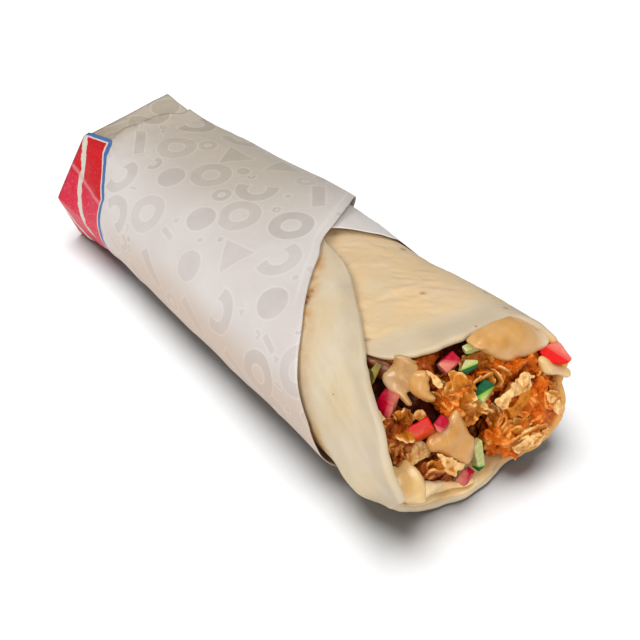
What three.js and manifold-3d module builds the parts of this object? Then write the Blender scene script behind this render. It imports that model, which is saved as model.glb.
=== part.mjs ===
// A chicken gyro: a flatbread rolled round crisp chicken, sauce, tomato and cucumber,
// in one sheet of paper that leaves its mouth open.
// Millimetres, +Z up. The roll lies along X with its mouth at +X and rests on z = 0.
// A place on the roll is its distance from the tail and an angle round it:
// 0 is the near side (-Y), 90 the top, 180 the far side (+Y) and 270 the underside.
// A sheet that laps over itself goes on past 360 degrees.
import * as THREE from "three";
import { ImprovedNoise } from "three/addons/math/ImprovedNoise.js";
import { mergeVertices } from "three/addons/utils/BufferGeometryUtils.js";
import Module from "manifold-3d";

const wasm = await Module();
wasm.setup();
const { degToRad, lerp, smoothstep } = THREE.MathUtils;
const noise = new ImprovedNoise();

// The roll's own oval, wider than tall and growing towards the mouth
const ROLL_LENGTH = 211;
const TAIL_HALF_WIDTH = 37.2;
const MOUTH_HALF_WIDTH = 43.3;
const TAIL_HEIGHT = 46.3;
const MOUTH_HEIGHT = 65;
const OVAL_POWER = 2.4;
// how far the underside is pressed flat on the surface that it lies on
const SETTLE = 1.2;
// The folded tail is flat-sided: [angle, y, z] of its corners
const TAIL_CORNERS = [
  [-90, 0, 0],
  [-45, -33, 1],
  [-5, -39.8, 23.5],
  [57, -22.5, 45.9],
  [125, 21.3, 47.4],
  [185, 37, 22],
  [225, 33, 1],
  [270, 0, 0],
];
const TAIL_FOLD_LENGTH = 46;
const TAIL_SLANT = 0.08;
const TAIL_NEAR_X = 1.1;
// The far side is drawn in a little where the paper stops and the bread goes on
const WAIST_DEPTH = 2;
// The whole part is centred over its origin
const ROLL_MIDDLE = [107, 0.48];

// The paper
const PAPER_THICKNESS = 0.45;
const PAPER_LAP_STEP = 0.9;
const PAPER_START = 52.5;
const PAPER_END = 555;
const LAP_OVER = 195;
const LAP_DOWN = 262.5;
// [angle, distance from the tail] along the sheet's two cut edges
const PAPER_FRONT = [
  [52, 106],
  [75, 112],
  [98, 119.5],
  [115, 127.5],
  [132, 136],
  [150, 141],
  [180, 150],
  [225, 164],
  [270, 174],
  [315, 178],
  [347, 175.4],
  [358, 172],
  [367, 168.3],
  [381, 163.3],
  [394, 158.5],
  [410, 151.7],
  [423, 144.7],
  [437, 136.7],
  [446, 131.5],
  [452, 125.3],
  [461, 121.7],
  [478, 115],
  [505, 104],
  [555, 90],
];
const PAPER_BACK = [
  [415, 0],
  [425, 9],
  [434, 14],
  [446, 17],
  [454, 9],
  [464, 9.5],
  [477, 13],
  [555, 10],
];
// the outer turn is loose behind its free edge
const PAPER_FLARE = 3.2;
const FLARE_LENGTH = 60;
const PAPER_ROWS = 9;
const END_DEPTH = 1;
const END_DISH = 3.5;

// The flatbread
const BREAD_THICKNESS = 3.3;
const BREAD_INSET = 1.95;
const BREAD_LAP_STEP = 3.9;
const BREAD_START = 37.5;
const BREAD_END = 472.5;
const BREAD_TAIL_X = 9;
const BREAD_RIM = 1.4;
// the bread is loose in the folded tail of the paper
const TAIL_SLACK = 0.7;
const BREAD_ROWS = 9;
// the near flap sags out over its bottom, past the paper
const BREAD_SAG = 2.1;
// and its lower corner at the mouth is rounded
const CORNER_INSET = 1.6;
// [angle, distance from the tail] of the bread's front edge
const BREAD_FRONT = [
  [37, 163],
  [50, 168],
  [57, 174.5],
  [61, 179.5],
  [67, 183.7],
  [75, 186.8],
  [84, 189],
  [99, 192.1],
  [114, 193.5],
  [130, 196.5],
  [146, 200.5],
  [165, 206],
  [174, 209],
  [189, 209.8],
  [198, 212.3],
  [214, 214.5],
  [231, 213.8],
  [239, 212.8],
  [251, 209.4],
  [263, 210.8],
  [270, 211.4],
  [277, 210.9],
  [284, 208.4],
  [296, 206.5],
  [325, 205.5],
  [335, 206.5],
  [345, 208.5],
  [354, 211.5],
  [359, 212.5],
  [370, 208.3],
  [378, 204.7],
  [387, 200],
  [394, 195],
  [406, 185],
  [421, 173.5],
  [429, 167],
  [437, 159.5],
  [443, 152.5],
  [449, 143.5],
  [454, 124.5],
  [473, 105],
];

// The filling
const CAVITY_GAP = 0.4;
const CORE_GAP = 0.6;
const FACE_X = 210.5;
const FACE_LEAN = 0.36;
const HOLLOW_DEPTH = 24;
const HOLLOW_PLACE = [-28, 56];
const HOLLOW_SPREAD = 17;
const CORE_TAIL_X = 10;
const PIECE_GAP = 0.35;
// past the bread's front edge a piece may hang over the rim
const OVERHANG = 8;

const STEP = 7.5; // degrees between the columns of every wrapped sheet

const COLOURS = {
  paper: 0xcfc8c2,
  bread: 0xe6d3b1,
  chicken: 0xb5672a,
  sauce: 0xe2b983,
  tomato: 0xc22a22,
  cucumber: 0x6f9a45,
};

// Height, at a place, of the smooth curve through [place, value] pairs.
function curve(pairs, place) {
  const last = pairs.length - 1;
  if (place <= pairs[0][0]) return pairs[0][1];
  if (place >= pairs[last][0]) return pairs[last][1];
  const i = pairs.findIndex(([at]) => at > place) - 1;
  const slope = (k) => {
    const before = pairs[Math.max(k - 1, 0)];
    const after = pairs[Math.min(k + 1, last)];
    return (after[1] - before[1]) / (after[0] - before[0]);
  };
  const width = pairs[i + 1][0] - pairs[i][0];
  const t = (place - pairs[i][0]) / width;
  const start = pairs[i][1] * (1 + 2 * t) * (1 - t) ** 2;
  const end = pairs[i + 1][1] * t * t * (3 - 2 * t);
  const leaving = width * slope(i) * t * (1 - t) ** 2;
  const arriving = width * slope(i + 1) * t * t * (t - 1);
  return start + end + leaving + arriving;
}

function tailOutline(degrees) {
  const angle = ((((degrees + 90) % 360) + 360) % 360) - 90;
  const i = TAIL_CORNERS.findIndex(([at]) => at > angle) - 1;
  const [from, y0, z0] = TAIL_CORNERS[i];
  const [to, y1, z1] = TAIL_CORNERS[i + 1];
  const t = (angle - from) / (to - from);
  return new THREE.Vector2(lerp(y0, y1, t), lerp(z0, z1, t));
}

// 1 between the two middle values, falling smoothly to 0 at the outer two.
const swell = (value, start, full, fading, end) =>
  smoothstep(value, start, full) * (1 - smoothstep(value, fading, end));

function waist(x, degrees) {
  const angle = ((degrees % 360) + 360) % 360;
  return WAIST_DEPTH * swell(x, 102, 138, 148, 178) * swell(angle, 95, 130, 175, 215);
}

// A point on the roll, set in from its outer surface.
function rollPoint(x, degrees, inset) {
  const along = x / ROLL_LENGTH;
  const halfWidth = lerp(TAIL_HALF_WIDTH, MOUTH_HALF_WIDTH, along);
  const halfHeight = lerp(TAIL_HEIGHT, MOUTH_HEIGHT, along) / 2;
  const angle = degToRad(degrees);
  const rounded = (v) => Math.sign(v) * Math.abs(v) ** (2 / OVAL_POWER);
  const oval = new THREE.Vector2(
    -halfWidth * rounded(Math.cos(angle)),
    halfHeight * (1 + rounded(Math.sin(angle))) - SETTLE,
  );
  const point = tailOutline(degrees).lerp(oval, smoothstep(x, 0, TAIL_FOLD_LENGTH));
  point.y = Math.max(point.y, 0);
  const depth = inset + waist(x, degrees);
  const inward = new THREE.Vector2(0, halfHeight).sub(point).setLength(depth);
  point.add(inward);
  return new THREE.Vector3(x, point.x, Math.max(point.y, 0));
}

function solid(geometry) {
  geometry.deleteAttribute("normal");
  geometry.deleteAttribute("uv");
  const merged = mergeVertices(geometry, 1e-4);
  return new wasm.Manifold(
    new wasm.Mesh({
      numProp: 3,
      vertProperties: new Float32Array(merged.attributes.position.array),
      triVerts: new Uint32Array(merged.index.array),
    }),
  );
}

function geometryOf(manifold) {
  const mesh = manifold.getMesh();
  const positions = new THREE.BufferAttribute(mesh.vertProperties, mesh.numProp);
  return new THREE.BufferGeometry()
    .setAttribute("position", positions)
    .setIndex(new THREE.BufferAttribute(mesh.triVerts, 1));
}

// The largest of the bodies that a cut leaves.
function largest(manifold) {
  const bodies = manifold.decompose();
  return bodies.reduce((a, b) => (b.volume() > a.volume() ? b : a));
}

function meshGeometry(points, triangles) {
  const flat = new Float32Array(points.flatMap((p) => [p.x, p.y, p.z]));
  return new THREE.BufferGeometry()
    .setAttribute("position", new THREE.BufferAttribute(flat, 3))
    .setIndex(triangles);
}

// A sheet with two faces. face(column, row, side) gives a point, on side 0 or 1.
function sheet(columns, rows, face) {
  const points = [];
  const triangles = [];
  for (const side of [0, 1])
    for (let i = 0; i <= columns; i++)
      for (let j = 0; j <= rows; j++) points.push(face(i, j, side));
  const size = (columns + 1) * (rows + 1);
  const at = (i, j) => i * (rows + 1) + j;
  const wall = (p, q) => triangles.push(q, p, p + size, q, p + size, q + size);
  for (let i = 0; i < columns; i++)
    for (let j = 0; j < rows; j++) {
      const [a, b, c, d] = [at(i, j), at(i, j + 1), at(i + 1, j + 1), at(i + 1, j)];
      triangles.push(a, b, c, a, c, d);
      triangles.push(a + size, c + size, b + size, a + size, d + size, c + size);
    }
  for (let j = 0; j < rows; j++) {
    wall(at(0, j), at(0, j + 1));
    wall(at(columns, j + 1), at(columns, j));
  }
  for (let i = 0; i < columns; i++) {
    wall(at(i, rows), at(i + 1, rows));
    wall(at(i + 1, 0), at(i, 0));
  }
  return meshGeometry(points, triangles);
}

// A closed body of rings round the roll, shut by a point at each end.
function rings(loops, first, last) {
  const points = [first, ...loops.flat(), last];
  const count = loops[0].length;
  const end = points.length - 1;
  const at = (ring, i) => 1 + ring * count + (i % count);
  const triangles = [];
  for (let i = 0; i < count; i++) {
    triangles.push(0, at(0, i), at(0, i + 1));
    triangles.push(end, at(loops.length - 1, i + 1), at(loops.length - 1, i));
    for (let ring = 0; ring < loops.length - 1; ring++) {
      const [a, b] = [at(ring, i), at(ring + 1, i)];
      const [c, d] = [at(ring + 1, i + 1), at(ring, i + 1)];
      triangles.push(a, b, c, a, c, d);
    }
  }
  return meshGeometry(points, triangles);
}

const angles = (from, to) => {
  const count = Math.round((to - from) / STEP);
  return Array.from({ length: count + 1 }, (_, i) => from + i * STEP);
};
const turn = angles(0, 360 - STEP);

// The tail's edge leans: its far side reaches further back.
const tailX = (degrees) => TAIL_NEAR_X - TAIL_SLANT * tailOutline(degrees).x;

// How far the paper is set in: its first turn lies under its second.
const paperInset = (degrees) =>
  PAPER_LAP_STEP * (1 - smoothstep(degrees, LAP_OVER, LAP_DOWN));

function paperSheet() {
  const columns = angles(PAPER_START, PAPER_END);
  return sheet(columns.length - 1, PAPER_ROWS, (i, j, side) => {
    const degrees = columns[i];
    const front = curve(PAPER_FRONT, degrees);
    const back = Math.max(curve(PAPER_BACK, degrees), tailX(degrees));
    const x = lerp(back, front, (j / PAPER_ROWS) ** 0.9);
    const lifted = smoothstep(degrees, 442, 500) * smoothstep(x, front - FLARE_LENGTH, front);
    const inset = paperInset(degrees) - PAPER_FLARE * lifted;
    return rollPoint(x, degrees, inset + side * PAPER_THICKNESS);
  });
}

// The folded end that shuts the tail, dished a little.
function paperEnd() {
  const skin = 0.2;
  const ring = (share, depth) =>
    turn.map((degrees) => {
      const firstTurn = degrees < PAPER_START ? degrees + 360 : degrees;
      const edge = rollPoint(tailX(degrees), degrees, paperInset(firstTurn) + skin);
      const middle = new THREE.Vector3(TAIL_NEAR_X + END_DISH, 0, TAIL_HEIGHT / 2);
      const point = middle.lerp(edge, share);
      return point.add(new THREE.Vector3(depth, 0, 0));
    });
  const middle = new THREE.Vector3(TAIL_NEAR_X + END_DISH, 0, TAIL_HEIGHT / 2);
  const inside = middle.clone().setX(middle.x + END_DEPTH);
  return rings(
    [ring(0.55, 0.05), ring(1, 0.05), ring(1, END_DEPTH), ring(0.55, END_DEPTH)],
    middle,
    inside,
  );
}

// How far the bread's outer face is set in. Its far flap dips under its near one.
function breadInset(x, degrees) {
  const under = 1 - smoothstep(degrees, 95, 137);
  const bottom = swell(degrees, 215, 250, 290, 315) * smoothstep(x, 181, 193);
  const sag = BREAD_SAG * swell(degrees, 310, 335, 345, 372) * swell(x, 177, 189, 192, 203);
  const corner = CORNER_INSET * swell(degrees, 305, 330, 350, 368) * smoothstep(x, 195, 208);
  const tail = TAIL_SLACK * (1 - smoothstep(x, 25, 70));
  return BREAD_INSET + BREAD_LAP_STEP * under - 1.2 * bottom - sag + corner + tail;
}

function breadSheet() {
  const columns = angles(BREAD_START, BREAD_END);
  return sheet(columns.length - 1, BREAD_ROWS, (i, j, side) => {
    const degrees = columns[i];
    const front = curve(BREAD_FRONT, degrees);
    const rim = j === BREAD_ROWS;
    const body = j / (BREAD_ROWS - 1);
    const x = rim ? front : lerp(BREAD_TAIL_X, front - BREAD_RIM, body ** 0.75);
    const depth = rim ? lerp(0.28, 0.72, side) : side;
    return rollPoint(x, degrees, breadInset(x, degrees) + depth * BREAD_THICKNESS);
  });
}

// The front edge of whichever flap reaches furthest at an angle.
function rimX(degrees) {
  const far = degrees < BREAD_START ? 0 : curve(BREAD_FRONT, degrees);
  return Math.max(far, degrees < 100 ? curve(BREAD_FRONT, degrees + 360) : 0);
}

// The inside of the bread, where two flaps lap the inner one.
function cavityInset(x, degrees) {
  const lapped = degrees < BREAD_START ? degrees + 360 : degrees;
  const step = smoothstep(degrees, 15, BREAD_START - STEP) * (degrees < BREAD_START);
  const inner = breadInset(x, lapped) + step * BREAD_LAP_STEP;
  return inner + BREAD_THICKNESS + CAVITY_GAP;
}

// The slope that the filling shows at the mouth, with its hollow by the near flap.
function faceX(y, z) {
  const dy = (y - HOLLOW_PLACE[0]) / HOLLOW_SPREAD;
  const dz = (z - HOLLOW_PLACE[1]) / HOLLOW_SPREAD;
  const hollow = HOLLOW_DEPTH * Math.exp(-dy * dy - dz * dz);
  return FACE_X - FACE_LEAN * z - hollow;
}

// The bare core of chicken under the pieces that show, behind the face by depth.
function coreBody(depth) {
  const rows = 4;
  const ringAt = (share) =>
    turn.map((degrees) => {
      const edge = rollPoint(ROLL_LENGTH, degrees, cavityInset(ROLL_LENGTH, degrees));
      const front = Math.min(faceX(edge.y, edge.z) - depth, rimX(degrees) - depth);
      const x = lerp(CORE_TAIL_X, front, share);
      return rollPoint(x, degrees, cavityInset(x, degrees) + CORE_GAP);
    });
  const loops = Array.from({ length: rows + 1 }, (_, k) => ringAt(k / rows));
  const middle = new THREE.Vector3(0, 0, 0.45 * MOUTH_HEIGHT);
  for (const share of [0.7, 0.35])
    loops.push(
      loops[rows].map((edge) => {
        const point = edge.clone().lerp(middle.clone().setX(edge.x), 1 - share);
        const bump = 2.5 * noise.noise(point.y / 7, point.z / 7, 3.1);
        point.x = faceX(point.y, point.z) - depth + bump;
        return point;
      }),
    );
  const last = middle.clone().setX(faceX(0, middle.z) - depth);
  return rings(loops, new THREE.Vector3(CORE_TAIL_X, 0, 0.5 * TAIL_HEIGHT), last);
}

// The room that a piece at the mouth may fill: inside the bread, and over its rim.
function mouthRoom() {
  const backX = 150;
  const frontX = 240;
  const ringAt = (place) =>
    turn.map((degrees) => {
      const rim = rimX(degrees);
      const x = [backX, rim + 0.2, rim + 0.5, frontX][place];
      const inset = place < 2 ? cavityInset(x, degrees) : -OVERHANG;
      return rollPoint(x, degrees, inset);
    });
  return rings(
    [0, 1, 2, 3].map(ringAt),
    new THREE.Vector3(backX, 0, 0.5 * MOUTH_HEIGHT),
    new THREE.Vector3(frontX, 0, 0.5 * MOUTH_HEIGHT),
  );
}

// A rounded lump, scaled to its half sizes. crag is the height of its crust's ridges.
function lump(half, grow, crag, detail) {
  const ball = new THREE.IcosahedronGeometry(1, detail);
  const positions = ball.attributes.position;
  const [a, b, c] = half;
  const point = new THREE.Vector3();
  for (let i = 0; i < positions.count; i++) {
    point.fromBufferAttribute(positions, i);
    const [x, y, z] = [point.x * a, point.y * b, point.z * c];
    const bulge = noise.noise(x / 11 + a, y / 11 + b, z / 11 + c);
    const ridge = 1 - 2 * Math.abs(noise.noise(x / 4.5 + c, y / 4.5 + a, z / 4.5 + b));
    const radius = 1 + 0.22 * bulge + (crag * (ridge - 0.6)) / Math.min(a, b, c);
    const size = (s) => s * radius + grow;
    positions.setXYZ(i, point.x * size(a), point.y * size(b), point.z * size(c));
  }
  return ball;
}

const crust = (half, grow) => lump(half, grow, 1.6, 3);
const largeCrust = (half, grow) => lump(half, grow, 1.8, 4);
const dollop = (half, grow) => lump(half, grow, 0, 2);

// A cut block, a little out of true as a knife leaves it.
function dice(half, grow) {
  const [a, b, c] = half.map((s) => s + grow);
  const box = new THREE.BoxGeometry(2 * a, 2 * b, 2 * c);
  const positions = box.attributes.position;
  for (let i = 0; i < positions.count; i++) {
    const skew = 0.12 * Math.sign(positions.getZ(i));
    positions.setX(i, positions.getX(i) * (1 - skew));
    positions.setY(i, positions.getY(i) * (1 + skew));
  }
  return box;
}

// A wedge of a round slice: flat faces at -X and +X, its skin on the curved side at +Z.
function wedge(half, grow) {
  const [a, b, c] = half.map((s) => s + grow);
  const shape = new THREE.Shape();
  shape.moveTo(0, -c);
  shape.lineTo(b, 0);
  shape.absellipse(0, 0, b, c, 0, Math.PI);
  const slice = new THREE.ExtrudeGeometry(shape, {
    depth: 2 * a,
    curveSegments: 8,
    bevelEnabled: false,
  });
  slice.translate(0, 0, -a);
  // the drawn outline becomes Y and Z, and its depth becomes X
  return slice.applyMatrix4(new THREE.Matrix4().set(0, 0, 1, 0, 1, 0, 0, 0, 0, 1, 0, 0, 0, 0, 0, 1));
}

// Every piece that shows at the mouth: name, shape, middle, half sizes, and turns in
// degrees about X, then Y, then Z. Front ones come first: each later one is cut to
// fit round those before it.
const PIECES = [
  ["tomato_wedge", wedge, [206, 35.5, 41], [2.2, 5.8, 3.7], [158, -42, -38]],
  ["tomato_dice_1", dice, [193, -2.4, 50.4], [2.2, 3, 3.1], [20, 25, 10]],
  ["tomato_dice_2", dice, [189.1, -25.4, 43], [3, 3.6, 4.2], [-25, 10, 25]],
  ["tomato_dice_3", dice, [199.4, -19, 36.6], [2.6, 3.7, 2.6], [30, 25, -10]],
  ["tomato_dice_4", dice, [202.9, -14.1, 38.6], [1.9, 2.3, 1.9], [30, 15, 15]],
  ["tomato_dice_5", dice, [210.6, -7.7, 14.3], [1.7, 2, 2.7], [-30, 10, 10]],
  ["cucumber_dice_1", dice, [202.7, 4.6, 40.4], [2.4, 3.1, 3.2], [25, 15, 20]],
  ["cucumber_slice", wedge, [196.6, 3.2, 48.8], [1.3, 3.4, 2.1], [209, -42, -38]],
  ["cucumber_stick_1", dice, [194.5, 7.3, 53], [1.3, 3.9, 1.5], [0, 10, -10]],
  ["cucumber_stick_2", dice, [208.5, -0.5, 18], [1.5, 1.8, 6], [4, -12, 0]],
  ["cucumber_dice_2", dice, [179.8, -23.2, 49.5], [2, 2.6, 2.6], [10, 20, 30]],
  ["sauce_top", dollop, [197, 21.6, 47], [5.5, 11.4, 6.5], [-8, 0, -24]],
  ["sauce_far", dollop, [208.5, 36.5, 33], [4, 5, 4.2], [0, 0, -20]],
  ["sauce_middle", dollop, [203.5, -9.5, 28.5], [4, 8.4, 8], [-12, 14, 0]],
  ["sauce_near", dollop, [204, -29.4, 22.5], [4.5, 6.4, 8], [-10, 15, -20]],
  ["sauce_streak", dollop, [187.5, -16, 47.5], [3.4, 5.2, 8.5], [-12, -12, 0]],
  ["chicken_piece_1", largeCrust, [203.2, 26.8, 19.5], [11.5, 20, 17.5], [10, 0, 12]],
  ["chicken_piece_2", crust, [196, 23.5, 39.5], [9.5, 16, 10], [-12, 0, 0]],
  ["chicken_piece_3", crust, [194.9, 2.9, 36.1], [9.5, 10, 12.5], [20, 10, 0]],
  ["chicken_piece_4", crust, [191, -27.5, 32.5], [9, 9, 12], [0, 10, -10]],
  ["chicken_piece_5", crust, [202.5, -15.5, 17], [9, 14, 8.5], [8, 0, 0]],
  ["chicken_piece_6", crust, [185.5, -8.5, 47], [8, 11, 9], [0, 20, 0]],
];

function pieceSolid([, shape, at, half, turns], grow) {
  const made = shape(half, grow);
  const turned = new THREE.Euler(...turns.map(degToRad), "ZYX");
  made.applyMatrix4(new THREE.Matrix4().makeRotationFromEuler(turned));
  made.translate(...at);
  return solid(made);
}

const roll = new THREE.Group();

function addNode(name, colour, manifold) {
  const material = new THREE.MeshStandardMaterial({
    color: COLOURS[colour],
    roughness: colour === "paper" || colour === "bread" ? 0.8 : 0.4,
    metalness: 0,
  });
  const mesh = new THREE.Mesh(geometryOf(manifold), material);
  mesh.name = name;
  roll.add(mesh);
}

addNode("paper_wrapper", "paper", solid(paperSheet()).add(solid(paperEnd())));
addNode("flatbread", "bread", solid(breadSheet()));

const room = solid(mouthRoom());
const keepOut = [];
for (const piece of PIECES) {
  const [name] = piece;
  let body = pieceSolid(piece, 0).intersect(room);
  for (const other of keepOut) body = body.subtract(other);
  addNode(name, name.split("_")[0], largest(body));
  keepOut.push(pieceSolid(piece, PIECE_GAP));
}
let core = solid(coreBody(5));
for (const other of keepOut) core = core.subtract(other);
addNode("filling", "chicken", largest(core));

roll.position.set(-ROLL_MIDDLE[0], -ROLL_MIDDLE[1], 0);
const part = new THREE.Group();
part.add(roll);

export default part;
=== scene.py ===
"""A chicken gyro in its paper: the looks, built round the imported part.

Lengths are millimetres until a mesh is placed. A place on the roll is its distance
from the tail and an angle round it, as in the part: 0 is the near side, 90 the top,
180 the far side and 270 the underside. A sheet that laps over itself goes past 360.
"""

from itertools import product
from math import radians

import bpy
import numpy as np
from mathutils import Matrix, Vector
from mathutils.bvhtree import BVHTree


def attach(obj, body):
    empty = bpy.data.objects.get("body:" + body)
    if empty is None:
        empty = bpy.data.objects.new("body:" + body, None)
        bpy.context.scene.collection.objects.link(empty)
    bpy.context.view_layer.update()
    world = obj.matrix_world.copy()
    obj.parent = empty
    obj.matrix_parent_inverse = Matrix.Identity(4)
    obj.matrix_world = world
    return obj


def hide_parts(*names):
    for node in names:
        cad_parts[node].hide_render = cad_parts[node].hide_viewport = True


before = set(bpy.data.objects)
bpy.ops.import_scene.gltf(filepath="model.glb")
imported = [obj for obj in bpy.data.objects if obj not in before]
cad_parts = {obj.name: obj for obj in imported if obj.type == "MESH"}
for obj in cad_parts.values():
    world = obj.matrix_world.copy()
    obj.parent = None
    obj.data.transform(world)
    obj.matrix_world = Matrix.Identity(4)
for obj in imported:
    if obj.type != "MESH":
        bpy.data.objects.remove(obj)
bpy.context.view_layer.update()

MM = 0.001
# where the middle of the whole part is, seen from the tail
ROLL_MIDDLE = np.array([107, 0.48, 0])

# The roll's form

ROLL_LENGTH = 211
TAIL_HALF_WIDTH = 37.2
MOUTH_HALF_WIDTH = 43.3
TAIL_HEIGHT = 46.3
MOUTH_HEIGHT = 65
OVAL_POWER = 2.4
SETTLE = 1.2
TAIL_FOLD_LENGTH = 46
TAIL_SLANT = 0.08
TAIL_NEAR_X = 1.1
TAIL_CORNERS = np.array(
    [
        [-90, 0, 0],
        [-45, -33, 1],
        [-5, -39.8, 23.5],
        [57, -22.5, 45.9],
        [125, 21.3, 47.4],
        [185, 37, 22],
        [225, 33, 1],
        [270, 0, 0],
    ]
)
END_MIDDLE = TAIL_HEIGHT / 2
END_DISH = 4
END_FLAP_LENGTH = 24
WAIST_DEPTH = 2
# how far along the cross-sections are that stand for the mouth and the roll's girth
MOUTH_SECTION = 205
GIRTH_SECTION = 60

PAPER_START = 52.5
PAPER_END = 555
PAPER_LAP_STEP = 0.9
# where the sheet's edges are: degrees round, mm along, and so on
PAPER_FRONT = [
    52, 106, 75, 112, 98, 119.5, 115, 127.5, 132, 134.5, 141, 134.8, 152, 136.5,
    180, 148, 225, 164, 270, 174, 315, 178, 347, 175.4, 358, 172, 367, 168.3,
    381, 163.3, 394, 158.5, 410, 151.7, 423, 144.7, 437, 136.7, 446, 131.5, 452, 125.3,
    461, 121.7, 478, 115, 505, 104, 555, 90,
]
PAPER_BACK = [
    415, 0, 421.5, 3, 428, 12.4, 434, 11.3, 442, 10.8, 450, 11.5, 464, 11, 471, 12.4,
    478, 15.5, 500, 12, 555, 10,
]
PAPER_FLARE = 3.2
FLARE_LENGTH = 60
PAPER_THICKNESS = 0.25

BREAD_START = 37.5
BREAD_END = 472.5
BREAD_TAIL_X = 9
BREAD_THICKNESS = 3.3
BREAD_INSET = 1.95
BREAD_LAP_STEP = 3.9
# how far in from the roll's surface the filling begins
BREAD_WALL = BREAD_INSET + BREAD_THICKNESS + 0.3
# where the bread's rim is: degrees round, mm along, and so on
BREAD_FRONT = [
    37, 163, 50, 168, 57, 174.5, 61, 179.5, 67, 183.7, 75, 186.8, 84, 189, 99, 192.1,
    114, 193.5, 130, 196.5, 146, 200.5, 165, 206, 174, 209, 189, 209.8, 198, 212.3,
    214, 214.5, 231, 213.8, 239, 212.8, 251, 209.4, 263, 210.8, 270, 211.4, 277, 210.9,
    284, 208.4, 296, 206.5, 325, 205.5, 335, 206.5, 345, 208.5, 354, 211.5, 359, 212.5,
    370, 208.3, 378, 204.7, 387, 200, 394, 195, 406, 185, 421, 173.5, 429, 167,
    437, 159.5, 443, 152.5, 449, 143.5, 454, 124.5, 473, 105,
]

FACE_X = 210.5
FACE_LEAN = 0.36
HOLLOW_DEPTH = 24
HOLLOW_PLACE = np.array([-28, 56])
HOLLOW_SPREAD = 17

# how many mm round the roll a degree is
MM_PER_DEGREE = 0.7

BATTER_THICKNESS = 0.75
# how far apart the points along a fold are, and folds that lie beside one another
PATH_STEP = 0.45
FOLD_SPACING = 2.2


def curve(pairs, place):
    """The smooth curve through places and their values, flat past its ends."""
    at, value = np.reshape(pairs, (-1, 2)).astype(float).T
    slope = np.empty_like(at)
    slope[1:-1] = (value[2:] - value[:-2]) / (at[2:] - at[:-2])
    slope[[0, -1]] = (
        (value[1] - value[0]) / (at[1] - at[0]),
        (value[-1] - value[-2]) / (at[-1] - at[-2]),
    )
    place = np.clip(place, at[0], at[-1])
    i = np.clip(np.searchsorted(at, place, side="right") - 1, 0, len(at) - 2)
    width = at[i + 1] - at[i]
    t = (place - at[i]) / width
    start = value[i] * (1 + 2 * t) * (1 - t) ** 2
    end = value[i + 1] * t * t * (3 - 2 * t)
    leaving = width * slope[i] * t * (1 - t) ** 2
    arriving = width * slope[i + 1] * t * t * (t - 1)
    return start + end + leaving + arriving


def ease(value, start, full):
    """0 up to start, 1 from full on, and smooth between."""
    t = np.clip((value - start) / (full - start), 0, 1)
    return t * t * (3 - 2 * t)


def swell(value, start, full, fading, end):
    """1 between the two middle values, falling smoothly to 0 at the outer two."""
    return ease(value, start, full) * (1 - ease(value, fading, end))


def unit(rows):
    return rows / np.linalg.norm(rows, axis=-1, keepdims=True)


def distances(path):
    """How far along a path each of its points is."""
    steps = np.linalg.norm(np.diff(path, axis=0), axis=1)
    return np.concatenate([[0], np.cumsum(steps)])


def smooth_path(at, corners, ruler):
    """The places on a smooth path that are as far along it as the ruler says."""
    return np.stack([curve(np.stack([at, side], 1), ruler) for side in corners.T], 1)


def tail_outline(degrees):
    """Y and Z of the flat-sided folded tail."""
    at, y, z = TAIL_CORNERS.T
    angle = np.mod(degrees + 90, 360) - 90
    return np.interp(angle, at, y), np.interp(angle, at, z)


def tail_x(degrees):
    """How far along the tail's slanting edge is."""
    return TAIL_NEAR_X - TAIL_SLANT * tail_outline(degrees)[0]


def roll_point(x, degrees, inset):
    """Points on the roll, set in from its outer surface."""
    x, degrees, inset = np.broadcast_arrays(*map(np.float64, (x, degrees, inset)))
    along = x / ROLL_LENGTH
    half_width = TAIL_HALF_WIDTH + (MOUTH_HALF_WIDTH - TAIL_HALF_WIDTH) * along
    half_height = (TAIL_HEIGHT + (MOUTH_HEIGHT - TAIL_HEIGHT) * along) / 2
    cos, sin = np.cos(np.radians(degrees)), np.sin(np.radians(degrees))
    cos, sin = (np.sign(v) * np.abs(v) ** (2 / OVAL_POWER) for v in (cos, sin))
    tail_y, tail_z = tail_outline(degrees)
    full = ease(x, 0, TAIL_FOLD_LENGTH)
    y = tail_y + (-half_width * cos - tail_y) * full
    z = tail_z + (half_height * (1 + sin) - SETTLE - tail_z) * full
    z = np.maximum(z, 0)
    waist = swell(x, 102, 138, 148, 178)
    waist = waist * swell(np.mod(degrees, 360), 95, 130, 175, 215)
    inward = unit(np.stack([-y, half_height - z], -1))
    depth = inset + WAIST_DEPTH * waist
    y = y + inward[..., 0] * depth
    z = np.maximum(z + inward[..., 1] * depth, 0)
    return np.stack([x, y, z], -1)


def bread_inset(x, degrees):
    """How far the bread's outer face is set in."""
    under = 1 - ease(degrees, 95, 137)
    bottom = swell(degrees, 215, 250, 290, 315) * ease(x, 181, 193)
    sag = 2.1 * swell(degrees, 310, 335, 345, 372) * swell(x, 177, 189, 192, 203)
    corner = 1.6 * swell(degrees, 305, 330, 350, 368) * ease(x, 195, 208)
    tail = 0.7 * (1 - ease(x, 25, 70))
    return BREAD_INSET + BREAD_LAP_STEP * under - 1.2 * bottom - sag + corner + tail


def face_x(y, z):
    """Where the filling's slope at the mouth is, with its hollow by the near flap."""
    dy, dz = ((v - at) / HOLLOW_SPREAD for v, at in zip((y, z), HOLLOW_PLACE))
    return FACE_X - FACE_LEAN * z - HOLLOW_DEPTH * np.exp(-dy * dy - dz * dz)


# Noise in mm

shuffle = np.random.default_rng(11).permutation(256)
leanings = unit(np.random.default_rng(12).normal(size=(256, 3)))


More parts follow.
